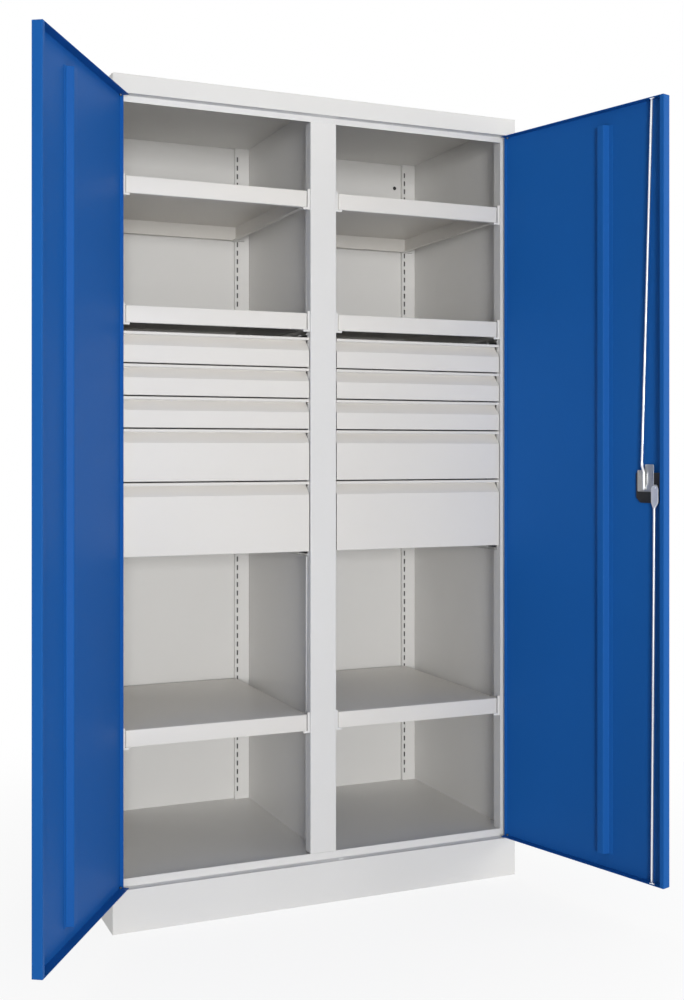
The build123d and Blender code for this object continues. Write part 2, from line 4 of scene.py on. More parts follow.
import bmesh
import bpy
import numpy as np
from bpy.props import FloatProperty, FloatVectorProperty, IntProperty, PointerProperty
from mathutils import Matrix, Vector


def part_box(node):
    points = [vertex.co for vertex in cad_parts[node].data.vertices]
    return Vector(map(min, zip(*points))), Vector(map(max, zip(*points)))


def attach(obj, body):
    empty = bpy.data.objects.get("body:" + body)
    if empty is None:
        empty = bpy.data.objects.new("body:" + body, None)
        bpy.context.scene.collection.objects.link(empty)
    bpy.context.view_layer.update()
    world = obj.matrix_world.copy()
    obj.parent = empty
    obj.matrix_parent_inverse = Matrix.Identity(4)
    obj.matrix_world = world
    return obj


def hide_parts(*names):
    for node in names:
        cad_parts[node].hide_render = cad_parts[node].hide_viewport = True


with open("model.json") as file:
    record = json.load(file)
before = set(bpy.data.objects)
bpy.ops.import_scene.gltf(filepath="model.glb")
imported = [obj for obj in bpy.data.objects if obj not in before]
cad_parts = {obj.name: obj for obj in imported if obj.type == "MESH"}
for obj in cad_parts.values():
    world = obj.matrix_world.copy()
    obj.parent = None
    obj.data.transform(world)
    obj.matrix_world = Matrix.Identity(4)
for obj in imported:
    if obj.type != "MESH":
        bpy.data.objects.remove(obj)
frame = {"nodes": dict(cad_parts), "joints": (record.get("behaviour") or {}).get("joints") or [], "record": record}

bl_info = {
    "name": "Two-door storage cabinet",
    "version": (1, 0, 0),
    "blender": (4, 5, 0),
    "location": "View3D > Sidebar > Cabinet",
    "description": "Dresses the packed frame of a sheet steel storage cabinet",
    "category": "Add Mesh",
}

MM = 0.001
SIDES = ("left", "right")
SHELVES = [f"{side}_shelf_{number}" for side in SIDES for number in (1, 2, 3)]
DRAWERS = [f"{side}_drawer_{number}" for side in SIDES for number in (1, 2, 3, 4, 5)]
WHITE = (1.0, 1.0, 1.0, 1.0)

# Radius of the flat face that closes a turned piece at its axis, and the play between close parts
AXIS = 0.2 * MM
PLAY = 0.05 * MM

# Inner folds of the trays and slides, as shares of the other sheets' fold
TRAY_FOLD = 0.4
SLIDE_FOLD = 0.6

# Rings of a lock rod's end: how far in they lie and how wide they are, as shares of its radius
TIP_REACH = (0.0, 0.35, 1.0)
TIP_WIDTH = (0.5, 0.85, 1.0)

# The photograph's view: the camera's place in metres and its heading in radians, and in pixels
# the picture's height, the focal length and the row of the camera's level line
CAMERA_PLACE = (-1.1859, -3.1450, 1.0926)
CAMERA_HEADING = 0.4065
PICTURE_HEIGHT = 1000
FOCAL_PIXELS = 1273.0
LEVEL_LINE = 451.6


def joint_named(name):
    return next(joint for joint in frame["joints"] if joint["name"] == name)


def hinge_of(side):
    """A door's pivot in plan, and how far the door stands open at rest, turned to the left."""
    joint = joint_named(f"{side}_door_hinge")
    sign = 1.0 if side == "right" else -1.0
    return np.array(joint["pos_m"][:2]), sign * math.radians(-joint["range_deg"][0])


def length(name, description, millimetres):
    """A length among the add-on's properties."""
    return FloatProperty(name=name, description=description, default=millimetres * MM, unit="LENGTH")


def colour(name, description, value):
    """A linear colour among the add-on's properties."""
    return FloatVectorProperty(
        name=name, description=description, default=value, subtype="COLOR", min=0.0, max=1.0)


class CabinetSizes(bpy.types.PropertyGroup):
    """Sizes of the folds, rims and small parts"""

    sheet: length("Sheet", "Thickness of shelves and fronts", 1.2)
    fold_radius: length("Fold radius", "Inner radius of a folded sheet", 0.8)
    outer_fold: length("Outer fold", "Outer radius of a folded sheet", 1.9)
    cut_edge: length("Cut edge", "Rounding of a sheet's cut edge", 0.3)
    strip_width: length("Strip width", "Width of the slotted strips", 42.0)
    shelf_return: length("Shelf return", "Width of the return under a shelf's lip", 13.0)
    shelf_corner: length("Shelf corner", "Radius of a shelf's upright corners", 4.0)
    floor_ring: length("Floor ring", "Inset from which a shelf's or a tray's floor is one face", 20.0)
    front_lip: length("Front lip", "Height of the lip over a drawer's grip", 7.0)
    grip_depth: length("Grip depth", "Depth of a drawer's finger grip", 21.0)
    grip_top: length("Grip top", "Top of the grip's slope below the front's top", 9.0)
    grip_bottom: length("Grip bottom", "Foot of the grip's slope below the front's top", 32.0)
    tray_sheet: length("Tray sheet", "Thickness of the drawer trays", 1.0)
    tray_corner: length("Tray corner", "Radius of a tray's upright corners", 2.0)
    hem_drop: length("Hem drop", "How far a tray's rim is folded down", 7.0)
    hem_width: length("Hem width", "Width of a tray's folded rim", 2.6)
    slide_gap: length("Slide gap", "Room between a tray's side and the carrier", 13.5)
    slide_sheet: length("Slide sheet", "Thickness of rails and runners", 1.2)
    slide_play: length("Slide play", "Play of the rollers in the slides", 0.3)
    rail_height: length("Rail height", "Height of a fixed rail", 20.0)
    rail_flange: length("Rail flange", "Width of a fixed rail", 10.5)
    runner_flange: length("Runner flange", "Width of a moving runner", 11.3)
    roller_width: length("Roller width", "Width of a slide's roller", 6.5)
    roller_inset: length("Roller inset", "Distance of a roller's axle from the slide's end", 12.0)
    axle_radius: length("Axle radius", "Radius of a roller's axle", 2.5)
    screw_head: length("Screw head", "Radius of a carrier screw's head", 4.5)
    screw_shank: length("Screw shank", "Radius of a carrier screw's shank", 2.0)
    screw_length: length("Screw length", "Length of a carrier screw's shank", 8.0)
    # The plugs are painted shade: black pieces that make the wall fixing holes as dark as the shade behind them
    plug_radius: length("Plug radius", "Radius of the plugs in the wall fixing holes", 5.6)
    plug_length: length("Plug length", "How far a plug reaches into its hole", 2.4)
    plug_height: length("Plug height", "Height of a plug's dome", 1.4)
    pin_radius: length("Pin radius", "Radius of the doors' pivot pins", 3.0)
    pin_collar: length("Pin collar", "Radius of a pivot pin's collar", 4.4)
    pin_reach: length("Pin reach", "How far a pivot pin stands through the door's flange", 3.0)
    door_sheet: length("Door sheet", "Thickness of the doors", 1.2)
    door_end_gap: length("Door end gap", "Gap over and under a door", 3.0)
    stiffener_sheet: length("Stiffener sheet", "Thickness of a door's stiffener", 1.0)
    stiffener_flange: length("Stiffener flange", "Width of a stiffener's welded flange", 12.0)
    stiffener_top: length("Stiffener top", "Width of a stiffener's flat top", 18.0)
    stiffener_fold: length("Stiffener fold", "Inner radius of a stiffener's folds", 2.5)
    weld_pitch: length("Weld pitch", "Distance between spot welds", 110.0)
    case_height: length("Case height", "Height of the lock's case", 70.0)
    case_chamfer: length("Case chamfer", "Cut corner of the lock's case", 12.0)
    cover_rim: length("Cover rim", "Sheet beside the spindle's bore in the lock's cover plate", 3.0)
    cover_width: length("Cover width", "Width of the lock's cover plate", 46.0)
    cover_height: length("Cover height", "Height of the lock's cover plate", 50.0)
    tab_width: length("Tab width", "Width of the cover plate's tab above the case", 25.0)
    tab_height: length("Tab height", "Height of the cover plate's tab", 13.0)
    cover_sheet: length("Cover sheet", "Thickness of the lock's cover plate", 1.2)
    spindle_radius: length("Spindle radius", "Radius of the lock's spindle", 6.0)
    knob_bar: length("Knob bar", "Width and half the depth of the knob's bar", 16.0)
    key_radius: length("Key radius", "Radius of the key cylinder", 6.0)
    key_depth: length("Key depth", "How far the key cylinder is sunk in the knob's bar", 2.0)
    rod_radius: length("Rod radius", "Radius of the lock rods", 3.0)
    rod_pin: length("Rod pin", "Radius of the pins of the lock rods", 2.5)
    rod_joggle: length("Rod joggle", "Sideways step of the upper rod", 5.0)
    joggle_foot: length("Joggle foot", "Foot of the step above the rod's pin", 35.0)
    joggle_top: length("Joggle top", "Top of the step above the rod's pin", 50.0)
    rod_bend: length("Rod bend", "Radius of the upper rod's bends", 9.0)
    rod_eye: length("Rod eye", "Width of the lower rod's flattened eye", 20.0)
    rod_eye_drop: length("Rod eye drop", "Distance of the eye's foot below its pin", 38.0)
    neck_below: length("Neck below", "Length of the rod's neck below the eye's foot", 12.0)
    neck_above: length("Neck above", "Length of the rod's neck above the eye's foot", 6.0)
    turned_sides: IntProperty(
        name="Turned sides", description="Sides of a turned part", default=32, min=8, max=96)


class CabinetColours(bpy.types.PropertyGroup):
    """Colours of the paints, metals and plastics"""

    carcass: colour("Carcass", "Light grey powder coat", (0.77, 0.76, 0.74))
    drawer: colour("Drawer", "Light grey powder coat of drawers and shelves", (0.78, 0.755, 0.715))
    # Hollow shade: painted shade, the dark tone put on the back sheet and the strips inside the strips' hollows
    hollow_shade: colour("Bare", "Unpainted steel in the strips' hollows", (0.11, 0.108, 0.105))
    door: colour("Door", "Gentian blue powder coat", (0.010, 0.112, 0.405))
    zinc: colour("Zinc", "Zinc plating", (0.55, 0.55, 0.545))
    pin: colour("Pin", "Dark plating of the pivot pins", (0.10, 0.11, 0.13))
    rod: colour("Rod", "Bright plating of the lock rods", (0.90, 0.91, 0.93))
    nylon: colour("Nylon", "Rollers of the slides", (0.80, 0.79, 0.75))
    lock: colour("Lock", "Black lock case and knob", (0.012, 0.012, 0.014))
    floor: colour("Floor", "Studio floor", (0.86, 0.86, 0.86))


def sizes():
    return bpy.context.scene.cabinet_sizes


def colours():
    return bpy.context.scene.cabinet_colours


# Shader nodes


class Wire:
    """A node's output. Sums written on wires become Math nodes of the same material."""

    def __init__(self, finish, socket):
        self.finish = finish
        self.socket = socket

    def math(self, operation, *values):
        inputs = dict(enumerate(values))
        return self.finish.node("ShaderNodeMath", {"operation": operation}, inputs)

    def __add__(self, other):
        return self.math("ADD", self, other)

    def __sub__(self, other):
        return self.math("SUBTRACT", self, other)

    def __rsub__(self, other):
        return self.math("SUBTRACT", other, self)

    def __mul__(self, other):
        return self.math("MULTIPLY", self, other)

    def __abs__(self):
        return self.math("ABSOLUTE", self)

    def __pow__(self, power):
        return self.math("POWER", self, power)

    __radd__ = __add__
    __rmul__ = __mul__


class Finish:
    """The nodes of a material or of a world, put together in code."""

    def __init__(self, name, owners=None):
        owners = bpy.data.materials if owners is None else owners
        self.owner = owners.new(name)
        self.owner.use_nodes = True
        self.tree = self.owner.node_tree
        self.tree.nodes.clear()

    def node(self, kind, settings=None, inputs=None, output=0):
        """Adds a node: its settings first, then the values or wires of its sockets."""
        node = self.tree.nodes.new(kind)
        for key, value in (settings or {}).items():
            setattr(node, key, value)
        for key, value in (inputs or {}).items():
            if isinstance(value, Wire):
                self.tree.links.new(value.socket, node.inputs[key])
            else:
                node.inputs[key].default_value = value
        return Wire(self, node.outputs[output]) if len(node.outputs) else None

    def place(self):
        return self.node("ShaderNodeTexCoord", output="Object")

    def part(self, place, axis):
        """The X, Y or Z of a place."""
        return self.node("ShaderNodeSeparateXYZ", {}, {0: place}, axis)

    def noise(self, scale, detail=2.0, roughness=0.5, stretch=None):
        """Noise from 0 to 1 over the piece; stretch is a scale along each axis."""
        where = self.place()
        if stretch:
            where = self.node("ShaderNodeMapping", {}, {"Vector": where, "Scale": stretch})
        inputs = {"Vector": where, "Scale": scale, "Detail": detail, "Roughness": roughness}
        return self.node("ShaderNodeTexNoise", {}, inputs)

    def mix(self, factor, low, high):
        """A colour between two colours, each a wire or three numbers."""
        low, high = (tone if isinstance(tone, Wire) else (*tone, 1.0) for tone in (low, high))
        return self.node("ShaderNodeMix", {"data_type": "RGBA"}, {0: factor, 6: low, 7: high}, 2)

    def within(self, value, low, high):
        """1 where a value lies between two limits, else 0."""
        return value.math("GREATER_THAN", value, low) * value.math("LESS_THAN", value, high)

    def ramp(self, value, low, high):
        """A smooth step from 0 at low to 1 at high."""
        inputs = {"Value": value, "From Min": low, "From Max": high}
        return self.node("ShaderNodeMapRange", {"interpolation_type": "SMOOTHSTEP"}, inputs)

    def bump(self, height, distance, **more):
        return self.node("ShaderNodeBump", {}, {"Height": height, "Distance": distance, **more})

    def seen(self):
        """1 where the camera looks, also in a mirror or through glass, and 0 for all other rays."""
        rays = ("Is Camera Ray", "Is Glossy Ray", "Is Transmission Ray")
        camera, glossy, through = (self.node("ShaderNodeLightPath", output=name) for name in rays)
        return camera.math("MAXIMUM", camera.math("MAXIMUM", camera, glossy), through)

    def surface(self, shader, kind="ShaderNodeOutputMaterial"):
        self.node(kind, {}, {"Surface": shader})
        return self.owner

    def principled(self, **inputs):
        named = {key.replace("_", " "): value for key, value in inputs.items()}
        return self.surface(self.node("ShaderNodeBsdfPrincipled", {}, named))


def shade(tone, factor):
    return tuple(float(channel) * factor for channel in tone)


def coat_tones(finish, paint, roughness):
    """What the powder coats share: a soft cloud in colour and gloss, and orange peel as a bump."""
    cloud = finish.noise(2.6, 3.0, 0.55)
    peel = finish.noise(700.0, 2.0, 0.5)
    ripple = finish.noise(90.0, 2.0, 0.5)
    tone = finish.mix(cloud, shade(paint, 0.965), shade(paint, 1.03))
    gloss = roughness + (cloud - 0.5) * 0.10 + (peel - 0.5) * 0.06
    peel_depth = 0.06 * MM
    return tone, gloss, finish.bump(peel * 0.6 + ripple * 0.4, peel_depth)


def powder_coat(name, paint, roughness):
    """Powder coat on folded sheet."""
    finish = Finish(name)
    tone, gloss, peel = coat_tones(finish, paint, roughness)
    return finish.principled(Base_Color=tone, Roughness=gloss, Normal=peel)


def channel_shade_coat(name, paint, roughness):
    """Powder coat with painted shade: a dark tone in the hollows of the slotted strips, where shade falls.

    The hollows lie between the strips' faces and the back sheet. Across the cabinet they reach from
    the partition and from the side sheets as far as a strip is wide, all less a margin for the sheet.
    """
    finish = Finish(name)
    tone, gloss, peel = coat_tones(finish, paint, roughness)
    low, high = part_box("slotted_strips")
    margin, width = 0.8 * MM, sizes().strip_width
    x = abs(finish.part(finish.place(), "X"))
    y = finish.part(finish.place(), "Y")
    inner = finish.within(x, margin, width - margin)
    outer = finish.within(x, high[0] - width + margin, high[0] - margin)
    # Mask of the strips' hollows, where the painted shade goes
    hollow = (inner + outer) * finish.within(y, low[1] + margin, high[1] + margin)
    coat = finish.mix(hollow, tone, colours().hollow_shade)
    return finish.principled(Base_Color=coat, Roughness=gloss, Normal=peel)


def door_coat(name, paint, roughness):
    """Powder coat on a door, with shallow dimples where the stiffener's flanges are spot welded.

    A dimple's depth follows the distance to the nearest weld, the root of the squares of the
    distances across the flange and along it.
    """
    finish = Finish(name)
    tone, gloss, peel = coat_tones(finish, paint, roughness)
    place = finish.node("ShaderNodeAttribute", {"attribute_name": "closed_place"}, output="Vector")
    x, z = finish.part(place, "X"), finish.part(place, "Z")
    low, high = closed_box("right_door_stiffener", "right")
    middle = (low[0] + high[0]) / 2
    weld_line = (high[0] - low[0] - sizes().stiffener_flange) / 2
    across = abs(abs(x - middle) - weld_line)
    along = z.math("PINGPONG", z, sizes().weld_pitch / 2)
    away = (across * across + along * along) ** 0.5
    weld_radius, dimple_radius, dimple_depth = 1.5 * MM, 3.2 * MM, 0.25 * MM
    dimple = finish.ramp(away, weld_radius, dimple_radius)
    welded = finish.bump(dimple, dimple_depth, Normal=peel)
    return finish.principled(Base_Color=tone, Roughness=gloss, Specular_IOR_Level=0.1, Normal=welded)


def zinc_plate(name, metal, roughness):
    """Zinc plating: pale spangles and faint drawn streaks."""
    finish = Finish(name)
    cells = {"Vector": finish.place(), "Scale": 260.0}
    spangle = finish.node("ShaderNodeTexVoronoi", {}, cells, "Distance")
    streak = finish.noise(60.0, 3.0, 0.6, (1.0, 1.0, 0.05))
    tone = spangle * 0.5 + streak * 0.5
    return finish.principled(
        Base_Color=finish.mix(tone, shade(metal, 0.86), shade(metal, 1.1)),
        Metallic=1.0,
        Roughness=roughness + (tone - 0.5) * 0.2,
        Normal=finish.bump(streak, distance=0.04 * MM),
    )


def bright_rod(name, metal, roughness):
    """Bright drawn wire: lines along its length and a little haze."""
    finish = Finish(name)
    streak = finish.noise(700.0, 2.0, 0.6, (1.0, 1.0, 0.01))
    haze = finish.noise(30.0, 2.0, 0.5)
    return finish.principled(
        Base_Color=finish.mix(haze, shade(metal, 0.93), shade(metal, 1.04)),
        Metallic=0.85,
        Roughness=roughness + streak * 0.14,
        Normal=finish.bump(streak, distance=0.03 * MM),
    )


def moulded(name, plastic, roughness):
    """Moulded plastic: a fine grain in the bump and a slightly uneven gloss."""
    finish = Finish(name)
    grain = finish.noise(1400.0, 2.0, 0.6)
    cloud = finish.noise(60.0, 2.0, 0.5)
    return finish.principled(
        Base_Color=finish.mix(cloud, shade(plastic, 0.9), shade(plastic, 1.08)),
        Roughness=roughness + (cloud - 0.5) * 0.15,
        Normal=finish.bump(grain, distance=0.04 * MM),
    )


FINISHES = {}


def finish_named(name):
    """The material of that name, made by its recipe when it is first asked for.

    A recipe is a function with the colour and the roughness that it starts from.
    """
    tones = colours()
    recipes = {
        "carcass_paint": (powder_coat, tones.carcass, 0.42),
        # Carcass paint with painted shade in the strips' hollows
        "channel_paint": (channel_shade_coat, tones.carcass, 0.42),
        "drawer_paint": (powder_coat, tones.drawer, 0.40),
        "door_paint": (door_coat, tones.door, 0.50),
        "zinc_plating": (zinc_plate, tones.zinc, 0.34),
        "dark_plating": (zinc_plate, tones.pin, 0.42),
        "bright_plating": (bright_rod, tones.rod, 0.26),
        "roller_nylon": (moulded, tones.nylon, 0.45),
        "lock_black": (moulded, tones.lock, 0.38),
    }
    if name not in FINISHES:
        recipe, tone, roughness = recipes[name]
        FINISHES[name] = recipe(name, tone, roughness)
    return FINISHES[name]


# Plane lines and sections


def unit(vectors):
    """Each vector divided by its own length."""
    return vectors / np.linalg.norm(vectors, axis=-1, keepdims=True)


def left_of(directions):
    """Each plane direction turned a quarter turn to the left: (x, y) becomes (-y, x)."""
    return np.stack([-directions[..., 1], directions[..., 0]], axis=-1)


def turned_by(vectors, angles):
    """Each plane vector turned by its angle: (x cos - y sin, x sin + y cos)."""
    x, y = vectors[..., 0], vectors[..., 1]
    cos, sin = np.cos(angles), np.sin(angles)
    return np.stack([x * cos - y * sin, x * sin + y * cos], axis=-1)


def corner_arcs(before, corners, after, radius, steps):
    """Arcs at corners between unit directions before and after, with the normals to their left.

    An arc starts radius * tan(turn / 2) before its corner. Its points are the centre plus the arm
    from the centre to the start, turned through the corner's turn in equal steps.
    """
    cross = before[:, 0] * after[:, 1] - before[:, 1] * after[:, 0]
    turn = np.arctan2(cross, (before * after).sum(axis=1))
    reach = radius * np.tan(np.abs(turn) / 2)
    start = corners - before * reach[:, None]
    arm = -np.sign(turn)[:, None] * left_of(before) * radius
    angles = turn[:, None] * np.linspace(0.0, 1.0, steps + 1)
    arcs = (start - arm)[:, None] + turned_by(arm[:, None], angles)
    normals = turned_by(left_of(before)[:, None], angles)
    return arcs.reshape(-1, 2), normals.reshape(-1, 2)


def rounded_line(points, radius, steps=4):
    """An open line with arcs at its corners, and the normal to its left at each point."""
    points = np.asarray(points, float)
    way = unit(np.diff(points, axis=0))
    arcs, normals = corner_arcs(way[:-1], points[1:-1], way[1:], radius, steps)
    line = np.vstack([points[:1], arcs, points[-1:]])
    return line, np.vstack([left_of(way[:1]), normals, left_of(way[-1:])])


def rounded_loop(points, radius, steps=4):
    """A closed loop with arcs at its corners, and the normal to its left at each point."""
    points = np.asarray(points, float)
    way = unit(np.roll(points, -1, axis=0) - points)
    return corner_arcs(np.roll(way, 1, axis=0), points, way, radius, steps)


def offset_line(points, distance):
    """An open line moved to its left by a distance, each corner along the sum n of its two
    normals by 2 * distance / |n|^2."""
    points = np.asarray(points, float)
    normal = left_of(unit(np.diff(points, axis=0)))
    total = np.vstack([2 * normal[:1], normal[:-1] + normal[1:], 2 * normal[-1:]])
    return points + total * (2 * distance / (total ** 2).sum(axis=1))[:, None]


def sheet_section(middle, thickness, radius, steps=4):
    """The closed section of a folded sheet about its middle line, with half-round cut edges.

    The sides are the rounded middle line plus and minus half the thickness along its normals,
    and each end is a half circle of half the thickness.
    """
    line, normal = rounded_line(middle, radius + thickness / 2, steps)
    half = thickness / 2
    angles = np.linspace(-math.pi / 2, math.pi / 2, 5)[1:-1, None]
    cos, sin = np.cos(angles), np.sin(angles)
    last_way, first_way = -left_of(normal[-1:]), -left_of(normal[:1])
    last = line[-1:] - half * last_way + half * (cos * last_way + sin * normal[-1:])
    first = line[:1] + half * first_way - half * (cos * first_way + sin * normal[:1])
    line = line.copy()
    line[-1:] -= half * last_way
    line[:1] += half * first_way
    return np.vstack([line - half * normal, last, (line + half * normal)[::-1], first])


# Surfaces on grids


def grid_faces(rows, columns, wrap_rows):
    """The four corner numbers of each cell of a grid of points, whose columns close into a ring."""
    i = np.arange(rows if wrap_rows else rows - 1)[:, None]
    j = np.arange(columns)[None]
    i_next, j_next = (i + 1) % rows, (j + 1) % columns
    cells = (i * columns + j, i * columns + j_next, i_next * columns + j_next, i_next * columns + j)
    return np.stack(np.broadcast_arrays(*cells), axis=-1).reshape(-1, 4)


def patch(grid, wrap_rows=False):
    """A grid of points as points and faces. Its first and last rows are closed by one face each, or
    joined to one another."""
    rows, columns = grid.shape[:2]
    faces = grid_faces(rows, columns, wrap_rows).tolist()
    if not wrap_rows:
        faces.append(list(range(columns))[::-1])
        faces.append(list(range((rows - 1) * columns, rows * columns)))
    return grid.reshape(-1, 3), faces


def joined(patches):
    """Several patches as one list of points and faces."""
    points, faces, count = [], [], 0
    for some_points, some_faces in patches:
        points.append(some_points)
        faces += [[corner + count for corner in face] for face in some_faces]
        count += len(some_points)
    return np.vstack(points), faces


def carried(section, start, end, axis):
    """A section carried straight along x, y or z: each point keeps its place in the section's plane
    and runs from start to end. Sections are given in the other two axes, in the order x, y, z."""
    along = "xyz".index(axis)
    across = [k for k in range(3) if k != along]
    grid = np.empty((2, len(section), 3))
    grid[:, :, across] = section
    grid[:, :, along] = np.array([start, end])[:, None]
    return patch(grid)


def turned(profile, centre, axis, sides):
    """A surface of revolution: centre + axis * height + radius * (cos a * u + sin a * v), for
    profile points (radius, height) and angles a all round."""
    profile = np.asarray(profile, float)
    axis = unit(np.asarray(axis, float))
    u = unit(np.cross(axis, (0.0, 0.0, 1.0) if abs(axis[2]) < 0.9 else (1.0, 0.0, 0.0)))
    v = np.cross(axis, u)
    angle = np.linspace(0.0, 2 * math.pi, sides, endpoint=False)
    ring = np.cos(angle)[:, None] * u + np.sin(angle)[:, None] * v
    grid = np.asarray(centre) + profile[:, 1, None, None] * axis + profile[:, 0, None, None] * ring
    return patch(grid)


def rounded_profile(points, radius, steps=3):
    """A turned profile with small arcs at its corners."""
    return rounded_line(points, radius, steps)[0]


def rim_steps(depth, edge):
    """Insets and heights of a plate's rows from its back to its front, with quarter-round rims.

    At a rim the inset is edge * (1 - sin a) and the height edge * (1 - cos a), a from 0 to 90 degrees.
    """
    angle = np.linspace(0.0, math.pi / 2, 4)
    inset, lift = edge * (1 - np.sin(angle)), edge * (1 - np.cos(angle))
    return np.concatenate([inset, inset[::-1]]), np.concatenate([lift, depth - lift[::-1]])


def plate(corners, corner_radius, y_range, edge, bore=None, steps=6):
    """A plate with a rounded outline in x and z and rounded rims, carried along y.

    Each row is the outline drawn in along its normals. With a bore, (centre, radius, floor), the rows
    go on from the near rim to a circle about the centre and down it: to the floor, which closes it,
    or where the floor is None to the plate's far side, so that it is open right through.
    """
    loop, normal = rounded_loop(corners, corner_radius, steps)
    area = (loop[:, 0] * np.roll(loop[:, 1], -1) - loop[:, 1] * np.roll(loop[:, 0], -1)).sum()
    inward = normal if area > 0 else -normal
    far, near = y_range
    inset, height = rim_steps(abs(far - near), edge)
    rows = [loop + inward * value for value in inset]
    places = list(far + math.copysign(1.0, near - far) * height)
    through = False
    if bore:
        centre, radius, floor = bore
        circle = np.asarray(centre) + radius * unit(loop - np.asarray(centre))
        through = floor is None
        rows += [circle, circle]
        places += [near, far if through else floor]
    grid = np.empty((len(rows), len(loop), 3))
    grid[:, :, (0, 2)] = np.stack(rows)
    grid[:, :, 1] = np.array(places)[:, None]
    return patch(grid, wrap_rows=through)


def recessed_head(place, axis, radius, height, arms, arm_width, arm_reach, depth):
    """A domed head with a slot or a cross sunk in it, on rings about its axis.

    The height over the seat at distance r is height * (1 - (r / radius)^4 / 2). Within an arm's
    reach, and no more than half its width from its line, it is height - depth.
    """
    rings, sides = 14, 48
    distance = radius * np.linspace(0.04, 1.0, rings)[:, None]
    angle = np.linspace(0.0, 2 * math.pi, sides, endpoint=False)[None]
    top = height * (1 - (distance / radius) ** 4 / 2) * np.ones_like(angle)
    across = np.abs(distance * np.sin(angle))
    if arms == 2:
        across = np.minimum(across, np.abs(distance * np.cos(angle)))
    sunk = (across < arm_width / 2) & (distance < arm_reach)
    top = np.where(sunk, height - depth, top)
    axis = unit(np.asarray(axis, float))
    u = unit(np.cross(axis, (0.0, 0.0, 1.0)))
    v = np.cross(axis, u)
    ring = np.cos(angle)[..., None] * u + np.sin(angle)[..., None] * v
    grid = np.asarray(place) + top[..., None] * axis + distance[..., None] * ring
    foot = np.asarray(place) + radius * ring
    return patch(np.concatenate([grid, foot]))


def pan(x_range, y_range, corner, profile, steps=5):
    """A profile carried round a rectangle with rounded corners.

    The profile gives how far inside the rectangle a ring lies and its height. A ring's corner radius
    is the rectangle's less that inset, down to nothing.
    """
    profile = np.asarray(profile, float)
    inset, height = profile[:, 0], profile[:, 1]
    radius = np.maximum(corner - inset, 0.0)
    half_x = (x_range[1] - x_range[0]) / 2 - inset - radius
    half_y = (y_range[1] - y_range[0]) / 2 - inset - radius
    angle = np.linspace(0.0, math.pi / 2, steps + 1)[None] + np.arange(4)[:, None] * math.pi / 2
    sign_x = np.array([1, -1, -1, 1])[:, None]
    sign_y = np.array([1, 1, -1, -1])[:, None]
    centre = (sum(x_range) / 2, sum(y_range) / 2)
    x = centre[0] + sign_x * half_x[:, None, None] + radius[:, None, None] * np.cos(angle)
    y = centre[1] + sign_y * half_y[:, None, None] + radius[:, None, None] * np.sin(angle)
    z = np.broadcast_to(height[:, None, None], x.shape)
    return patch(np.stack([x, y, z], axis=-1).reshape(len(profile), -1, 3))


def folded_pan(node, middle, half, fold, corner):
    """The pan of a node's size whose wall lies half its sheet to either side of a middle line."""
    low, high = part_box(node)
    line, normal = rounded_line(middle, fold + half)
    profile = np.vstack([line + half * normal, (line - half * normal)[::-1]])
    return pan((low[0], high[0]), (low[1], high[1]), corner, profile)


def swept(path, half_wide, half_deep, power, across, sides):
    """A bar along a path whose section is a superellipse.

    A point is path + wide * sgn(cos a) |cos a|^(2/p) * u + deep * sgn(sin a) |sin a|^(2/p) * v,
    where v is the fixed direction across and u is at right angles to it and to the path.
    """
    path = np.asarray(path, float)
    way = unit(np.gradient(path, axis=0))
    v = np.asarray(across, float)
    u = unit(np.cross(way, v))
    angle = np.linspace(0.0, 2 * math.pi, sides, endpoint=False)
    cos, sin = np.cos(angle), np.sin(angle)
    half_wide, half_deep, power = (
        np.broadcast_to(value, len(path))[:, None] for value in (half_wide, half_deep, power))
    wide = half_wide * np.sign(cos) * np.abs(cos) ** (2.0 / power)
    deep = half_deep * np.sign(sin) * np.abs(sin) ** (2.0 / power)
    return patch(path[:, None] + wide[..., None] * u[:, None] + deep[..., None] * v)


def mesh_points(node):
    """The points of a CAD node's mesh."""
    mesh = frame["nodes"][node].data
    points = np.empty(len(mesh.vertices) * 3)
    mesh.vertices.foreach_get("co", points)
    return points.reshape(-1, 3)


def opened(points, side="right"):
    """Points of the closed right door at the place where they stand at rest.

    They are mirrored for the left door, then turned about the door's pivot.
    """
    pivot, angle = hinge_of(side)
    points = np.asarray(points) * (1.0 if side == "right" else -1.0, 1.0, 1.0)
    return np.column_stack([turned_by(points[:, :2] - pivot, angle) + pivot, points[:, 2]])


def closed(points, side="right"):
    """The other way round: points of an open door on the closed right door."""
    pivot, angle = hinge_of(side)
    points = np.asarray(points)
    back = np.column_stack([turned_by(points[:, :2] - pivot, -angle) + pivot, points[:, 2]])
    return back * (1.0 if side == "right" else -1.0, 1.0, 1.0)


def closed_box(node, side="right"):
    """The box of a door's node, with the door closed and on the right side."""
    points = closed(mesh_points(node), side)
    return points.min(axis=0), points.max(axis=0)


def closed_pin(joint_name):
    """A lock joint's place with the right door closed."""
    return closed([joint_named(joint_name)["pos_m"]])[0]


def rod_tip(node, top):
    """The middle of a rod's end in the door's top or bottom flange, with the right door closed."""
    points = closed(mesh_points(node))
    level = points[:, 2].max() if top else points[:, 2].min()
    rim = points[np.abs(points[:, 2] - level) < MM]
    return (rim.min(axis=0) + rim.max(axis=0)) / 2


def on_door(patches, side="right"):
    return [(opened(points, side), faces) for points, faces in patches]


# Pieces


def add_piece(name, patches, finish, body, nodes=()):
    """Makes a piece from patches, with its doubles merged and its normals outwards."""
    points, faces = joined(patches)
    mesh = bpy.data.meshes.new(name)
    mesh.from_pydata(points.tolist(), [], faces)
    shell = bmesh.new()
    shell.from_mesh(mesh)
    bmesh.ops.remove_doubles(shell, verts=shell.verts, dist=0.0001 * MM)
    bmesh.ops.recalc_face_normals(shell, faces=shell.faces)
    shell.to_mesh(mesh)
    shell.free()
    place_piece(name, mesh, finish, body, nodes)


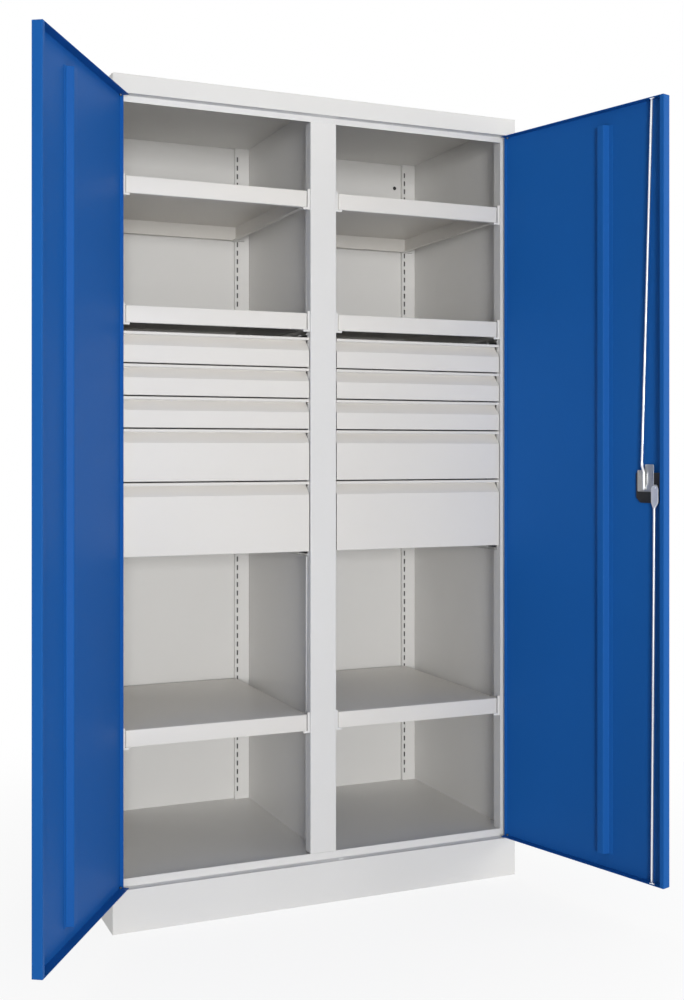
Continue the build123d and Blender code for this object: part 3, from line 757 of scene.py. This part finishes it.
def place_piece(name, mesh, finish, body, nodes):
    """Puts a mesh in the scene on its body, in place of the nodes that it stands for.

    Pieces of the doors keep their place on the closed right door as an attribute for the paint.
    """
    sharp_angle = math.radians(35.0)
    mesh.shade_smooth()
    mesh.set_sharp_from_angle(angle=sharp_angle)
    mesh.materials.append(finish_named(finish))
    if finish == "door_paint":
        points = np.empty(len(mesh.vertices) * 3)
        mesh.vertices.foreach_get("co", points)
        place = closed(points.reshape(-1, 3), body.split("_")[0])
        attribute = mesh.attributes.new("closed_place", "FLOAT_VECTOR", "POINT")
        attribute.data.foreach_set("vector", place.ravel())
    piece = bpy.data.objects.new(name, mesh)
    bpy.context.scene.collection.objects.link(piece)
    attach(piece, body)
    if nodes:
        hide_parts(*nodes)
    return piece


def softened_sheet(node, finish, body, outer=None):
    """A merged copy of a CAD node with its folds and cut edges rounded by a Bevel modifier.

    An edge beside a face as narrow as the sheet's thickness, which is twice its area over its
    outline, is a cut edge. The other edges are folds: full weight outside, less inside.
    """
    name = f"{node}_sheet"
    narrowest, flat, slightest_fold = 1.7 * MM, math.radians(0.5), math.radians(30)
    mesh = frame["nodes"][node].data.copy()
    mesh.name = name
    mesh.materials.clear()
    shell = bmesh.new()
    shell.from_mesh(mesh)
    bmesh.ops.remove_doubles(shell, verts=shell.verts, dist=0.002 * MM)
    bmesh.ops.join_triangles(
        shell, faces=shell.faces, angle_face_threshold=flat, angle_shape_threshold=math.pi)
    outer = outer or sizes().outer_fold
    weights = shell.edges.layers.float.new("bevel_weight_edge")
    narrow = {}
    for face in shell.faces:
        outline = sum(edge.calc_length() for edge in face.edges)
        narrow[face] = 2 * face.calc_area() / outline < narrowest
    for edge in shell.edges:
        if len(edge.link_faces) != 2 or edge.calc_face_angle(0.0) < slightest_fold:
            continue
        if any(narrow[face] for face in edge.link_faces):
            edge[weights] = sizes().cut_edge / outer
        else:
            edge[weights] = 1.0 if edge.is_convex else sizes().fold_radius / outer
    shell.to_mesh(mesh)
    shell.free()
    piece = place_piece(name, mesh, finish, body, (node,))
    bevel = piece.modifiers.new("rounded_edges", "BEVEL")
    bevel.limit_method = "WEIGHT"
    bevel.offset_type = "OFFSET"
    bevel.width = outer
    bevel.segments = 3
    bevel.use_clamp_overlap = False
    bevel.harden_normals = True
    bevel.miter_outer = "MITER_SHARP"


class PieceOperator:
    """What every operator of this add-on shares."""

    bl_options = {"REGISTER", "UNDO"}


class CABINET_OT_carcass(PieceOperator, bpy.types.Operator):
    """Add the folded sheets of the carcass"""

    bl_idname = "cabinet.carcass"
    bl_label = "Carcass sheets"

    def execute(self, context):
        sheets = (
            "roof_panel", "plinth", "left_side_panel", "right_side_panel", "back_panel",
            "floor_panel", "floor_bearer", "centre_post", "centre_partition", "slotted_strips",
        )
        for node in sheets:
            # The back sheet and the strips take the carcass paint with painted shade in the strips' hollows
            finish = "channel_paint" if node in ("back_panel", "slotted_strips") else "carcass_paint"
            softened_sheet(node, finish, "carcass")
        return {"FINISHED"}


class CABINET_OT_shelves(PieceOperator, bpy.types.Operator):
    """Add the folded shelves"""

    bl_idname = "cabinet.shelves"
    bl_label = "Shelves"

    def execute(self, context):
        size = sizes()
        half = size.sheet / 2
        for node in SHELVES:
            low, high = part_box(node)
            top, foot = high[2] - half, low[2] + half
            middle = [(size.floor_ring, top), (half, top), (half, foot), (size.shelf_return, foot)]
            shell = folded_pan(node, middle, half, size.fold_radius, size.shelf_corner)
            add_piece(f"{node}_sheet", [shell], "drawer_paint", "carcass", (node,))
        return {"FINISHED"}


def pivot_pin(place, level, way):
    """A pivot pin with its collar: a turned profile of radius and height from the ledge, with small
    arcs at its corners."""
    size = sizes()
    low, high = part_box("door_pivot_pins")
    tail = (level - low[2]) if way > 0 else (high[2] - level)
    gap = size.door_end_gap - PLAY
    reach = size.door_end_gap + size.door_sheet + size.pin_reach
    corners = [
        (AXIS, -tail), (size.pin_radius, -tail), (size.pin_radius, 0.0), (size.pin_collar, 0.0),
        (size.pin_collar, gap), (size.pin_radius, gap), (size.pin_radius, reach), (AXIS, reach),
    ]
    profile = rounded_profile(corners, radius=0.35 * MM)
    return turned(profile, (*place, level), (0.0, 0.0, way), size.turned_sides)


class CABINET_OT_fittings(PieceOperator, bpy.types.Operator):
    """Add the slide carriers, the shelf clips, the screws, the pivot pins and the black wall hole plugs, which are
    painted shade in the holes
    """

    bl_idname = "cabinet.fittings"
    bl_label = "Carriers, clips, screws, pins and plugs"

    def execute(self, context):
        size = sizes()
        softened_sheet("slide_carriers", "zinc_plating", "carcass")
        softened_sheet("shelf_clips", "carcass_paint", "carcass", outer=1.6 * MM)
        self.add_screws()
        door_low, door_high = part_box("right_door_pan")
        ends = ((door_low[2] - size.door_end_gap, 1), (door_high[2] + size.door_end_gap, -1))
        pins = [pivot_pin(hinge_of(side)[0], level, way) for side in SIDES for level, way in ends]
        add_piece("turned_pivot_pins", pins, "dark_plating", "carcass", ("door_pivot_pins",))
        self.add_shade_plugs()
        return {"FINISHED"}

    def add_screws(self):
        """Pan-head screws with a cross recess near the ends of each carrier's front edge."""
        size = sizes()
        low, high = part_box("carrier_screws")
        places = [(y, z) for y in (low[1] + size.screw_head, high[1] - size.screw_head)
                  for z in (low[2] + size.screw_head, high[2] - size.screw_head)]
        end, shank_end = (AXIS, size.screw_length), (size.screw_shank, size.screw_length)
        shank = rounded_profile([(AXIS, 0.0), (size.screw_shank, 0.0), shank_end, end], radius=0.15 * MM)
        patches = []
        for side in SIDES:
            tray_low, tray_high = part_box(f"{side}_drawer_1_tray")
            for seat, inward in ((tray_low[0] - size.slide_gap, 1), (tray_high[0] + size.slide_gap, -1)):
                for y, z in places:
                    patches.append(recessed_head(
                        (seat, y, z), (inward, 0, 0), size.screw_head, height=2.2 * MM,
                        arms=2, arm_width=1.1 * MM, arm_reach=2.6 * MM, depth=1.3 * MM))
                    patches.append(turned(shank, (seat, y, z), (-inward, 0, 0), size.turned_sides))
        node = ("carrier_screws",)
        add_piece("cross_recess_screws", patches, "zinc_plating", "carcass", node)

    def add_shade_plugs(self):
        """A low domed black plug in each wall fixing hole of the back sheet: painted shade, a dark piece where the
        hole shows the shade behind it.
        """
        size = sizes()
        mount = next(mount for mount in frame["record"]["mounts"] if mount["name"] == "wall_fixing")
        spread = mount["dims"]["spacing_x_mm"] * MM / 2
        front_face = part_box("back_panel")[0][1]
        hole_play = 0.3 * MM
        stem = mount["dims"]["hole_r_mm"] * MM - hole_play
        shoulder = (size.plug_radius * 0.8, size.plug_height - 0.2 * MM)
        profile = rounded_profile(
            [(AXIS, -size.plug_length), (stem, -size.plug_length), (stem, PLAY), (size.plug_radius, PLAY),
             shoulder, (AXIS, size.plug_height)], radius=0.2 * MM)
        plugs = [
            turned(profile, (way * spread, front_face, mount["pos_m"][2]), (0, -1, 0), size.turned_sides)
            for way in (-1, 1)
        ]
        # Black plugs: painted shade in the wall fixing holes
        add_piece("wall_hole_shade_plugs", plugs, "lock_black", "carcass")


class CABINET_OT_fronts(PieceOperator, bpy.types.Operator):
    """Add the drawer fronts"""

    bl_idname = "cabinet.fronts"
    bl_label = "Drawer fronts"

    def execute(self, context):
        size = sizes()
        half = size.sheet / 2
        for body in DRAWERS:
            node = f"{body}_front"
            low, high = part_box(node)
            near, top, bottom = low[1], high[2], low[2]
            back = near + size.grip_depth
            lip = [(near + half, top - size.front_lip), (near + half, top - half), (back + half, top - half)]
            slope = offset_line(
                [(back, top - size.sheet), (back, top - size.grip_top), (near, top - size.grip_bottom),
                 (near, bottom), (high[1], bottom)], half)
            section = sheet_section(np.vstack([lip, slope[1:]]), size.sheet, size.fold_radius)
            shell = carried(section, low[0], high[0], "x")
            add_piece(f"{body}_face", [shell], "drawer_paint", body, (node,))
        return {"FINISHED"}


class CABINET_OT_trays(PieceOperator, bpy.types.Operator):
    """Add the drawer trays with their hemmed rims"""

    bl_idname = "cabinet.trays"
    bl_label = "Drawer trays"

    def execute(self, context):
        size = sizes()
        half = size.tray_sheet / 2
        for body in DRAWERS:
            node = f"{body}_tray"
            low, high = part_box(node)
            foot, top, hem = low[2] + half, high[2] - half, size.hem_width
            hem_end = (hem, high[2] - size.hem_drop)
            middle = [(size.floor_ring, foot), (half, foot), (half, top), (hem, top), hem_end]
            shell = folded_pan(node, middle, half, size.fold_radius * TRAY_FOLD, size.tray_corner)
            add_piece(f"{body}_bin", [shell], "drawer_paint", body, (node,))
        return {"FINISHED"}


def rail_section(seat, inward, low):
    """A fixed rail's C section in x and z, seated on a carrier and open inwards."""
    size = sizes()
    half = size.slide_sheet / 2
    tip, web = seat + inward * size.rail_flange, seat + inward * half
    bottom, top = low + half, low + size.rail_height - half
    middle = [(tip, bottom), (web, bottom), (web, top), (tip, top)]
    return sheet_section(middle, size.slide_sheet, size.fold_radius * SLIDE_FOLD)


def runner_section(tray_side, outward, low):
    """A moving runner's section in x and z: a web on the tray's side with a flange at its top."""
    size = sizes()
    half = size.slide_sheet / 2
    web = tray_side + outward * half
    tip = tray_side + outward * size.runner_flange
    top = low + size.rail_height - size.slide_sheet - 2 * size.slide_play - half
    middle = [(web, low + half), (web, top), (tip, top)]
    return sheet_section(middle, size.slide_sheet, size.fold_radius * SLIDE_FOLD)


def roller_parts(web, way, y, low):
    """A roller with a rounded tread and a dished side, and its riveted axle, as turned profiles."""
    size = sizes()
    radius = (size.rail_height - 3 * size.slide_sheet - 4 * size.slide_play) / 2
    z = low + size.slide_sheet + size.slide_play + radius
    axle, gap = size.axle_radius, size.slide_play
    face = gap + size.roller_width
    dish_depth, axle_play = 0.9 * MM, 0.02 * MM
    dish = face - dish_depth
    dish_rim, dish_floor = radius * 0.78, radius * 0.7
    wheel = rounded_profile(
        [(axle, gap), (radius, gap), (radius, face), (dish_rim, face), (dish_floor, dish), (axle, dish)],
        radius=0.45 * MM)
    stem, head, crown = axle - axle_play, axle * 1.5, (axle * 1.3, face - 0.1 * MM)
    rivet = rounded_profile(
        [(AXIS, 0.0), (stem, 0.0), (stem, dish), (head, dish), crown, (AXIS, face + 0.2 * MM)],
        radius=0.12 * MM)
    centre, axis = (web, y, z), (way, 0, 0)
    return turned(wheel, centre, axis, size.turned_sides), turned(rivet, centre, axis, size.turned_sides)


class CABINET_OT_slides(PieceOperator, bpy.types.Operator):
    """Add the rails and runners with their rollers"""

    bl_idname = "cabinet.slides"
    bl_label = "Drawer slides"

    def execute(self, context):
        size = sizes()
        rail_low, rail_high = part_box("drawer_rails")
        rails, rail_wheels = [], []
        for body in DRAWERS:
            low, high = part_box(f"{body}_tray")
            runners, wheels = [], []
            for tray_side, way in ((low[0], -1), (high[0], 1)):
                seat = tray_side + way * size.slide_gap
                section = rail_section(seat, -way, low[2])
                rails.append(carried(section, rail_low[1], rail_high[1], "y"))
                wheel, rivet = roller_parts(
                    seat - way * size.slide_sheet, -way, rail_low[1] + size.roller_inset, low[2])
                rail_wheels.append(wheel)
                rails.append(rivet)
                section = runner_section(tray_side, way, low[2])
                runners.append(carried(section, low[1], high[1], "y"))
                wheel, rivet = roller_parts(
                    tray_side + way * size.slide_sheet, way, high[1] - size.roller_inset, low[2])
                wheels.append(wheel)
                runners.append(rivet)
            node = (f"{body}_runners",)
            add_piece(f"{body}_slides", runners, "zinc_plating", body, node)
            add_piece(f"{body}_wheels", wheels, "roller_nylon", body, node)
        add_piece("fixed_rails", rails, "zinc_plating", "carcass", ("drawer_rails",))
        add_piece("rail_wheels", rail_wheels, "roller_nylon", "carcass", ("drawer_rails",))
        return {"FINISHED"}


def stiffener_shell(side):
    """A door's hat section, carried upwards: a foot on the door's skin at each side, and slopes up to a
    flat top. The sheet's middle line is this line, moved off by half the sheet."""
    size = sizes()
    low, high = closed_box(f"{side}_door_stiffener", side)
    middle, half_top = (low[0] + high[0]) / 2, size.stiffener_top / 2
    skin, crown = low[1], high[1] - size.stiffener_sheet
    foot = (high[0] - low[0]) / 2 - size.stiffener_flange
    line = [
        (low[0], skin), (middle - foot, skin), (middle - half_top, crown),
        (middle + half_top, crown), (middle + foot, skin), (high[0], skin),
    ]
    half = size.stiffener_sheet / 2
    section = sheet_section(offset_line(line, half), size.stiffener_sheet, size.stiffener_fold, steps=6)
    return carried(section, low[2], high[2], "z")


class CABINET_OT_doors(PieceOperator, bpy.types.Operator):
    """Add the door pans and their stiffeners"""

    bl_idname = "cabinet.doors"
    bl_label = "Doors"

    def execute(self, context):
        for side in SIDES:
            body = f"{side}_door"
            softened_sheet(f"{body}_pan", "door_paint", body)
            shell = on_door([stiffener_shell(side)], side)
            add_piece(f"{body}_hat", shell, "door_paint", body, (f"{body}_stiffener",))
        return {"FINISHED"}


class CABINET_OT_lock(PieceOperator, bpy.types.Operator):
    """Add the lock's case, cover, crank and knob"""

    bl_idname = "cabinet.lock"
    bl_label = "Lock"

    def execute(self, context):
        size = sizes()
        spindle = closed_pin("lock_turn")
        bore = ((spindle[0], spindle[2]), size.spindle_radius + PLAY, None)
        low, high = closed_box("lock_case")
        face = high[1] - size.cover_sheet
        case_top, cut = low[2] + size.case_height, size.case_chamfer
        outline = [
            (low[0], low[2]), (high[0] - cut, low[2]), (high[0], low[2] + cut),
            (high[0], case_top), (low[0], case_top),
        ]
        case = plate(outline, corner_radius=2.5 * MM, y_range=(low[1], face), edge=0.8 * MM, bore=bore)
        add_piece("lock_body", on_door([case]), "lock_black", "right_door", ("lock_case",))
        side = spindle[0] - size.spindle_radius - size.cover_rim
        top = high[2] - size.tab_height
        bottom = top - size.cover_height
        outline = [
            (side, bottom), (side + size.cover_width, bottom), (side + size.cover_width, top),
            (side + size.tab_width, top), (side + size.tab_width, high[2]), (side, high[2]),
        ]
        cover = plate(outline, corner_radius=2.0 * MM, y_range=(face, high[1]), edge=0.3 * MM, bore=bore)
        add_piece("lock_cover", on_door([cover]), "zinc_plating", "right_door", ("lock_case",))
        softened_sheet("lock_crank", "zinc_plating", "lock_crank", outer=0.8 * MM)
        self.add_knob(spindle)
        return {"FINISHED"}

    def add_knob(self, spindle):
        """A round boss with an upright bar, and a slotted key cylinder sunk in it."""
        size = sizes()
        low, high = closed_box("lock_knob")
        half = size.knob_bar / 2
        bar_back = (low[1] + high[1]) / 2
        boss_radius, boss_height = (high[0] - low[0]) / 2, high[1] - bar_back
        boss = rounded_profile(
            [(AXIS, 0.0), (boss_radius, 0.0), (boss_radius, boss_height), (AXIS, boss_height)],
            radius=1.2 * MM)
        left, right, key_floor = spindle[0] - half, spindle[0] + half, low[1] + size.key_depth
        outline = [(left, low[2]), (right, low[2]), (right, high[2]), (left, high[2])]
        recess = ((spindle[0], spindle[2]), size.key_radius, key_floor)
        step, key_play = 0.6 * MM, 0.3 * MM
        bar = plate(
            outline, corner_radius=half * 0.95, y_range=(bar_back + step, low[1]), edge=1.6 * MM,
            bore=recess, steps=10)
        knob = [turned(boss, (spindle[0], high[1], spindle[2]), (0, -1, 0), size.turned_sides), bar]
        add_piece("turning_knob", on_door(knob), "lock_black", "lock_crank", ("lock_knob",))
        key = recessed_head(
            (spindle[0], key_floor, spindle[2]), (0, -1, 0), size.key_radius - key_play, height=1.2 * MM,
            arms=1, arm_width=1.0 * MM, arm_reach=4.2 * MM, depth=1.0 * MM)
        add_piece("key_cylinder", on_door([key]), "zinc_plating", "lock_crank", ("lock_knob",))


def rod_stem(points, bend, radius):
    """A round rod's bent line in x and z with its radius at each point, drawn in at both its ends."""
    line = rounded_line(points, bend, 6)[0]
    rings = np.array(TIP_REACH)[:, None] * radius
    way_in, way_out = unit(line[1] - line[0]), unit(line[-1] - line[-2])
    line = np.vstack([line[:1] + rings * way_in, line[1:-1], line[-1:] - rings[::-1] * way_out])
    taper = np.ones(len(line))
    taper[:3] = TIP_WIDTH
    taper[-3:] = TIP_WIDTH[::-1]
    return line, radius * taper


class CABINET_OT_rods(PieceOperator, bpy.types.Operator):
    """Add the upper and the lower lock rod"""

    bl_idname = "cabinet.rods"
    bl_label = "Lock rods"

    def execute(self, context):
        self.add_upper()
        self.add_lower()
        return {"FINISHED"}

    def pin(self, place, back, front, head):
        """A rod's pin from the crank to the rod, with a low dome over its end where it has a head."""
        radius = sizes().rod_pin
        reach = front - back
        profile = [(AXIS, 0.0), (radius, 0.0), (radius, reach)]
        if head:
            shoulder, crown = (radius * 1.2, reach + 0.9 * MM), (AXIS, reach + 1.1 * MM)
            profile += [(radius * 1.5, reach), shoulder, crown]
        else:
            profile += [(AXIS, reach)]
        profile = rounded_profile(profile, radius=0.15 * MM)
        return turned(profile, (place[0], back, place[2]), (0, 1, 0), sizes().turned_sides)

    def add_upper(self):
        """A round rod with a joggle over the crank and a straight run to the door's top flange."""
        size = sizes()
        low, high = closed_box("upper_lock_rod")
        place = closed_pin("upper_rod_pivot")
        y = high[1] - size.rod_radius
        hole_x = rod_tip("upper_lock_rod", True)[0]
        points = [
            (place[0], low[2]), (place[0], place[2] + size.joggle_foot),
            (place[0] + size.rod_joggle, place[2] + size.joggle_top), (hole_x, high[2]),
        ]
        line, radius = rod_stem(points, size.rod_bend, size.rod_radius)
        path = np.column_stack([line[:, 0], np.full(len(line), y), line[:, 1]])
        rod = swept(path, radius, radius, power=2.0, across=(0, 1, 0), sides=size.turned_sides)
        parts = [rod, self.pin(place, low[1], y, False)]
        add_piece("upper_rod", on_door(parts), "bright_plating", "upper_rod", ("upper_lock_rod",))

    def add_lower(self):
        """A rod whose upper end is flattened to an eye, which ends in a half circle.

        Along the neck, with t from 0 to 1 and the step 3 t^2 - 2 t^3, the half width grows from the
        rod's radius to the eye's and the half depth shrinks to half the radius.
        """
        size = sizes()
        low, high = closed_box("lower_lock_rod")
        place = closed_pin("lower_rod_pivot")
        half_eye, half_sheet, radius = size.rod_eye / 2, size.rod_radius / 2, size.rod_radius
        y = high[1] - radius
        eye_foot, eye_centre = place[2] - size.rod_eye_drop, high[2] - half_eye
        neck_foot, neck_top = eye_foot - size.neck_below, eye_foot + size.neck_above
        eye_angles = np.linspace(math.pi / 2, 0.04 * math.pi, 12)
        z = np.concatenate([
            low[2] + np.array(TIP_REACH) * radius,
            np.linspace(neck_foot, neck_top, 10),
            eye_centre + half_eye * np.cos(eye_angles),
        ])
        share = np.clip((z - neck_foot) / (neck_top - neck_foot), 0.0, 1.0)
        flat = share * share * (3 - 2 * share)
        beyond = np.clip(z - eye_centre, 0.0, half_eye)
        wide = radius + (half_eye - radius) * flat
        wide = np.where(beyond > 0, np.sqrt(half_eye ** 2 - beyond ** 2), wide)
        deep = radius + (half_sheet - radius) * flat
        wide[:3] *= TIP_WIDTH
        deep[:3] *= TIP_WIDTH
        hole_x = rod_tip("lower_lock_rod", False)[0]
        lean = np.clip((z - low[2]) / (eye_foot - low[2]), 0.0, 1.0)
        x = hole_x + (place[0] - hole_x) * lean
        path = np.column_stack([x, y - half_sheet * flat, z])
        round_power, flat_power = 2.0, 6.0
        power = round_power + (flat_power - round_power) * flat
        rod = swept(path, wide, deep, power, across=(0, 1, 0), sides=size.turned_sides)
        parts = [rod, self.pin(place, low[1], y, True)]
        add_piece("lower_rod", on_door(parts), "bright_plating", "lower_rod", ("lower_lock_rod",))


def stage_floor():
    """The studio floor: pale and matt, lifted to white for the camera away from the cabinet.

    The lift grows with the distance from the cabinet, and stays below one near it, so that the
    shadow on the floor is kept.
    """
    finish = Finish("studio_floor")
    far = finish.node("ShaderNodeVectorMath", {"operation": "LENGTH"}, {0: finish.place()}, "Value")
    lift = finish.node(
        "ShaderNodeMapRange", {"interpolation_type": "SMOOTHSTEP"},
        {"Value": far, "From Min": 0.5, "From Max": 1.8, "To Min": 0.87, "To Max": 1.0})
    matt = finish.node("ShaderNodeBsdfDiffuse", {}, {"Color": (*colours().floor, 1.0)})
    white = finish.node("ShaderNodeEmission", {}, {"Color": WHITE, "Strength": 1.0})
    finish.surface(finish.node("ShaderNodeMixShader", {}, {0: finish.seen() * lift, 1: matt, 2: white}))
    reach = 30.0
    corners = [(x * reach, y * reach, 0.0) for x, y in ((-1, -1), (1, -1), (1, 1), (-1, 1))]
    mesh = bpy.data.meshes.new("studio_floor")
    mesh.from_pydata(corners, [], [(0, 1, 2, 3)])
    mesh.materials.append(finish.owner)
    floor = bpy.data.objects.new("studio_floor", mesh)
    bpy.context.scene.collection.objects.link(floor)


def stage_world(strength):
    """An even pale sky that looks white to the camera."""
    finish = Finish("studio_world", bpy.data.worlds)
    light = finish.node("ShaderNodeBackground", {}, {"Color": WHITE, "Strength": strength})
    white = finish.node("ShaderNodeBackground", {}, {"Color": WHITE, "Strength": 1.0})
    both = finish.node("ShaderNodeMixShader", {}, {0: finish.seen(), 1: light, 2: white})
    bpy.context.scene.world = finish.surface(both, "ShaderNodeOutputWorld")


def stage_lamp(name, place, target, size, power):
    """A soft rectangular light at a place, facing a target."""
    lamp = bpy.data.lights.new(name, "AREA")
    lamp.shape = "RECTANGLE"
    lamp.size, lamp.size_y = size
    lamp.energy = power
    holder = bpy.data.objects.new(name, lamp)
    way = np.asarray(target, float) - np.asarray(place, float)
    yaw = math.atan2(way[1], way[0]) - math.pi / 2
    pitch = math.atan2(way[2], math.hypot(way[0], way[1])) + math.pi / 2
    holder.location = place
    holder.rotation_euler = (pitch, 0.0, yaw)
    bpy.context.scene.collection.objects.link(holder)


class CABINET_OT_stage(PieceOperator, bpy.types.Operator):
    """Add the floor, the light and the photograph's camera"""

    bl_idname = "cabinet.stage"
    bl_label = "Stage and camera"

    def execute(self, context):
        stage_floor()
        stage_world(strength=0.31)
        stage_lamp("front_softbox", (-2.0, -8.2, 1.3), target=(0.0, 0.0, 1.0), size=(1.6, 1.6), power=350.0)
        stage_lamp("side_softbox", (3.4, -2.4, 1.8), target=(-0.4, -0.3, 1.0), size=(2.0, 2.4), power=37.0)
        stage_lamp("back_softbox", (0.3, 2.9, 4.0), target=(0.0, 0.2, 1.4), size=(2.0, 2.0), power=80.0)
        lens = bpy.data.cameras.new("photo_camera")
        lens.sensor_width = 36.0
        lens.lens = FOCAL_PIXELS / PICTURE_HEIGHT * lens.sensor_width
        lens.shift_y = (LEVEL_LINE - PICTURE_HEIGHT / 2) / PICTURE_HEIGHT
        camera = bpy.data.objects.new("photo_camera", lens)
        camera.location = CAMERA_PLACE
        camera.rotation_euler = (math.pi / 2, 0.0, -CAMERA_HEADING)
        context.scene.collection.objects.link(camera)
        context.scene.camera = camera
        context.scene.view_settings.view_transform = "Standard"
        return {"FINISHED"}


OPERATORS = (
    CABINET_OT_carcass,
    CABINET_OT_shelves,
    CABINET_OT_fittings,
    CABINET_OT_fronts,
    CABINET_OT_trays,
    CABINET_OT_slides,
    CABINET_OT_doors,
    CABINET_OT_lock,
    CABINET_OT_rods,
    CABINET_OT_stage,
)


class CABINET_PT_pieces(bpy.types.Panel):
    """The cabinet's sizes, colours and pieces"""

    bl_idname = "CABINET_PT_pieces"
    bl_label = "Storage cabinet"
    bl_space_type = "VIEW_3D"
    bl_region_type = "UI"
    bl_category = "Cabinet"

    def draw(self, context):
        for group in (context.scene.cabinet_sizes, context.scene.cabinet_colours):
            box = self.layout.box()
            for name in group.__annotations__:
                box.prop(group, name)
        for operator in OPERATORS:
            self.layout.operator(operator.bl_idname)


CLASSES = (CabinetSizes, CabinetColours) + OPERATORS + (CABINET_PT_pieces,)


def register():
    for cls in CLASSES:
        bpy.utils.register_class(cls)
    bpy.types.Scene.cabinet_sizes = PointerProperty(type=CabinetSizes)
    bpy.types.Scene.cabinet_colours = PointerProperty(type=CabinetColours)


def unregister():
    del bpy.types.Scene.cabinet_colours
    del bpy.types.Scene.cabinet_sizes
    for cls in reversed(CLASSES):
        bpy.utils.unregister_class(cls)


def main():
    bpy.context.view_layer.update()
    register()
    for operator in OPERATORS:
        group, name = operator.bl_idname.split(".")
        getattr(getattr(bpy.ops, group), name)()


if __name__ == "__main__":
    main()
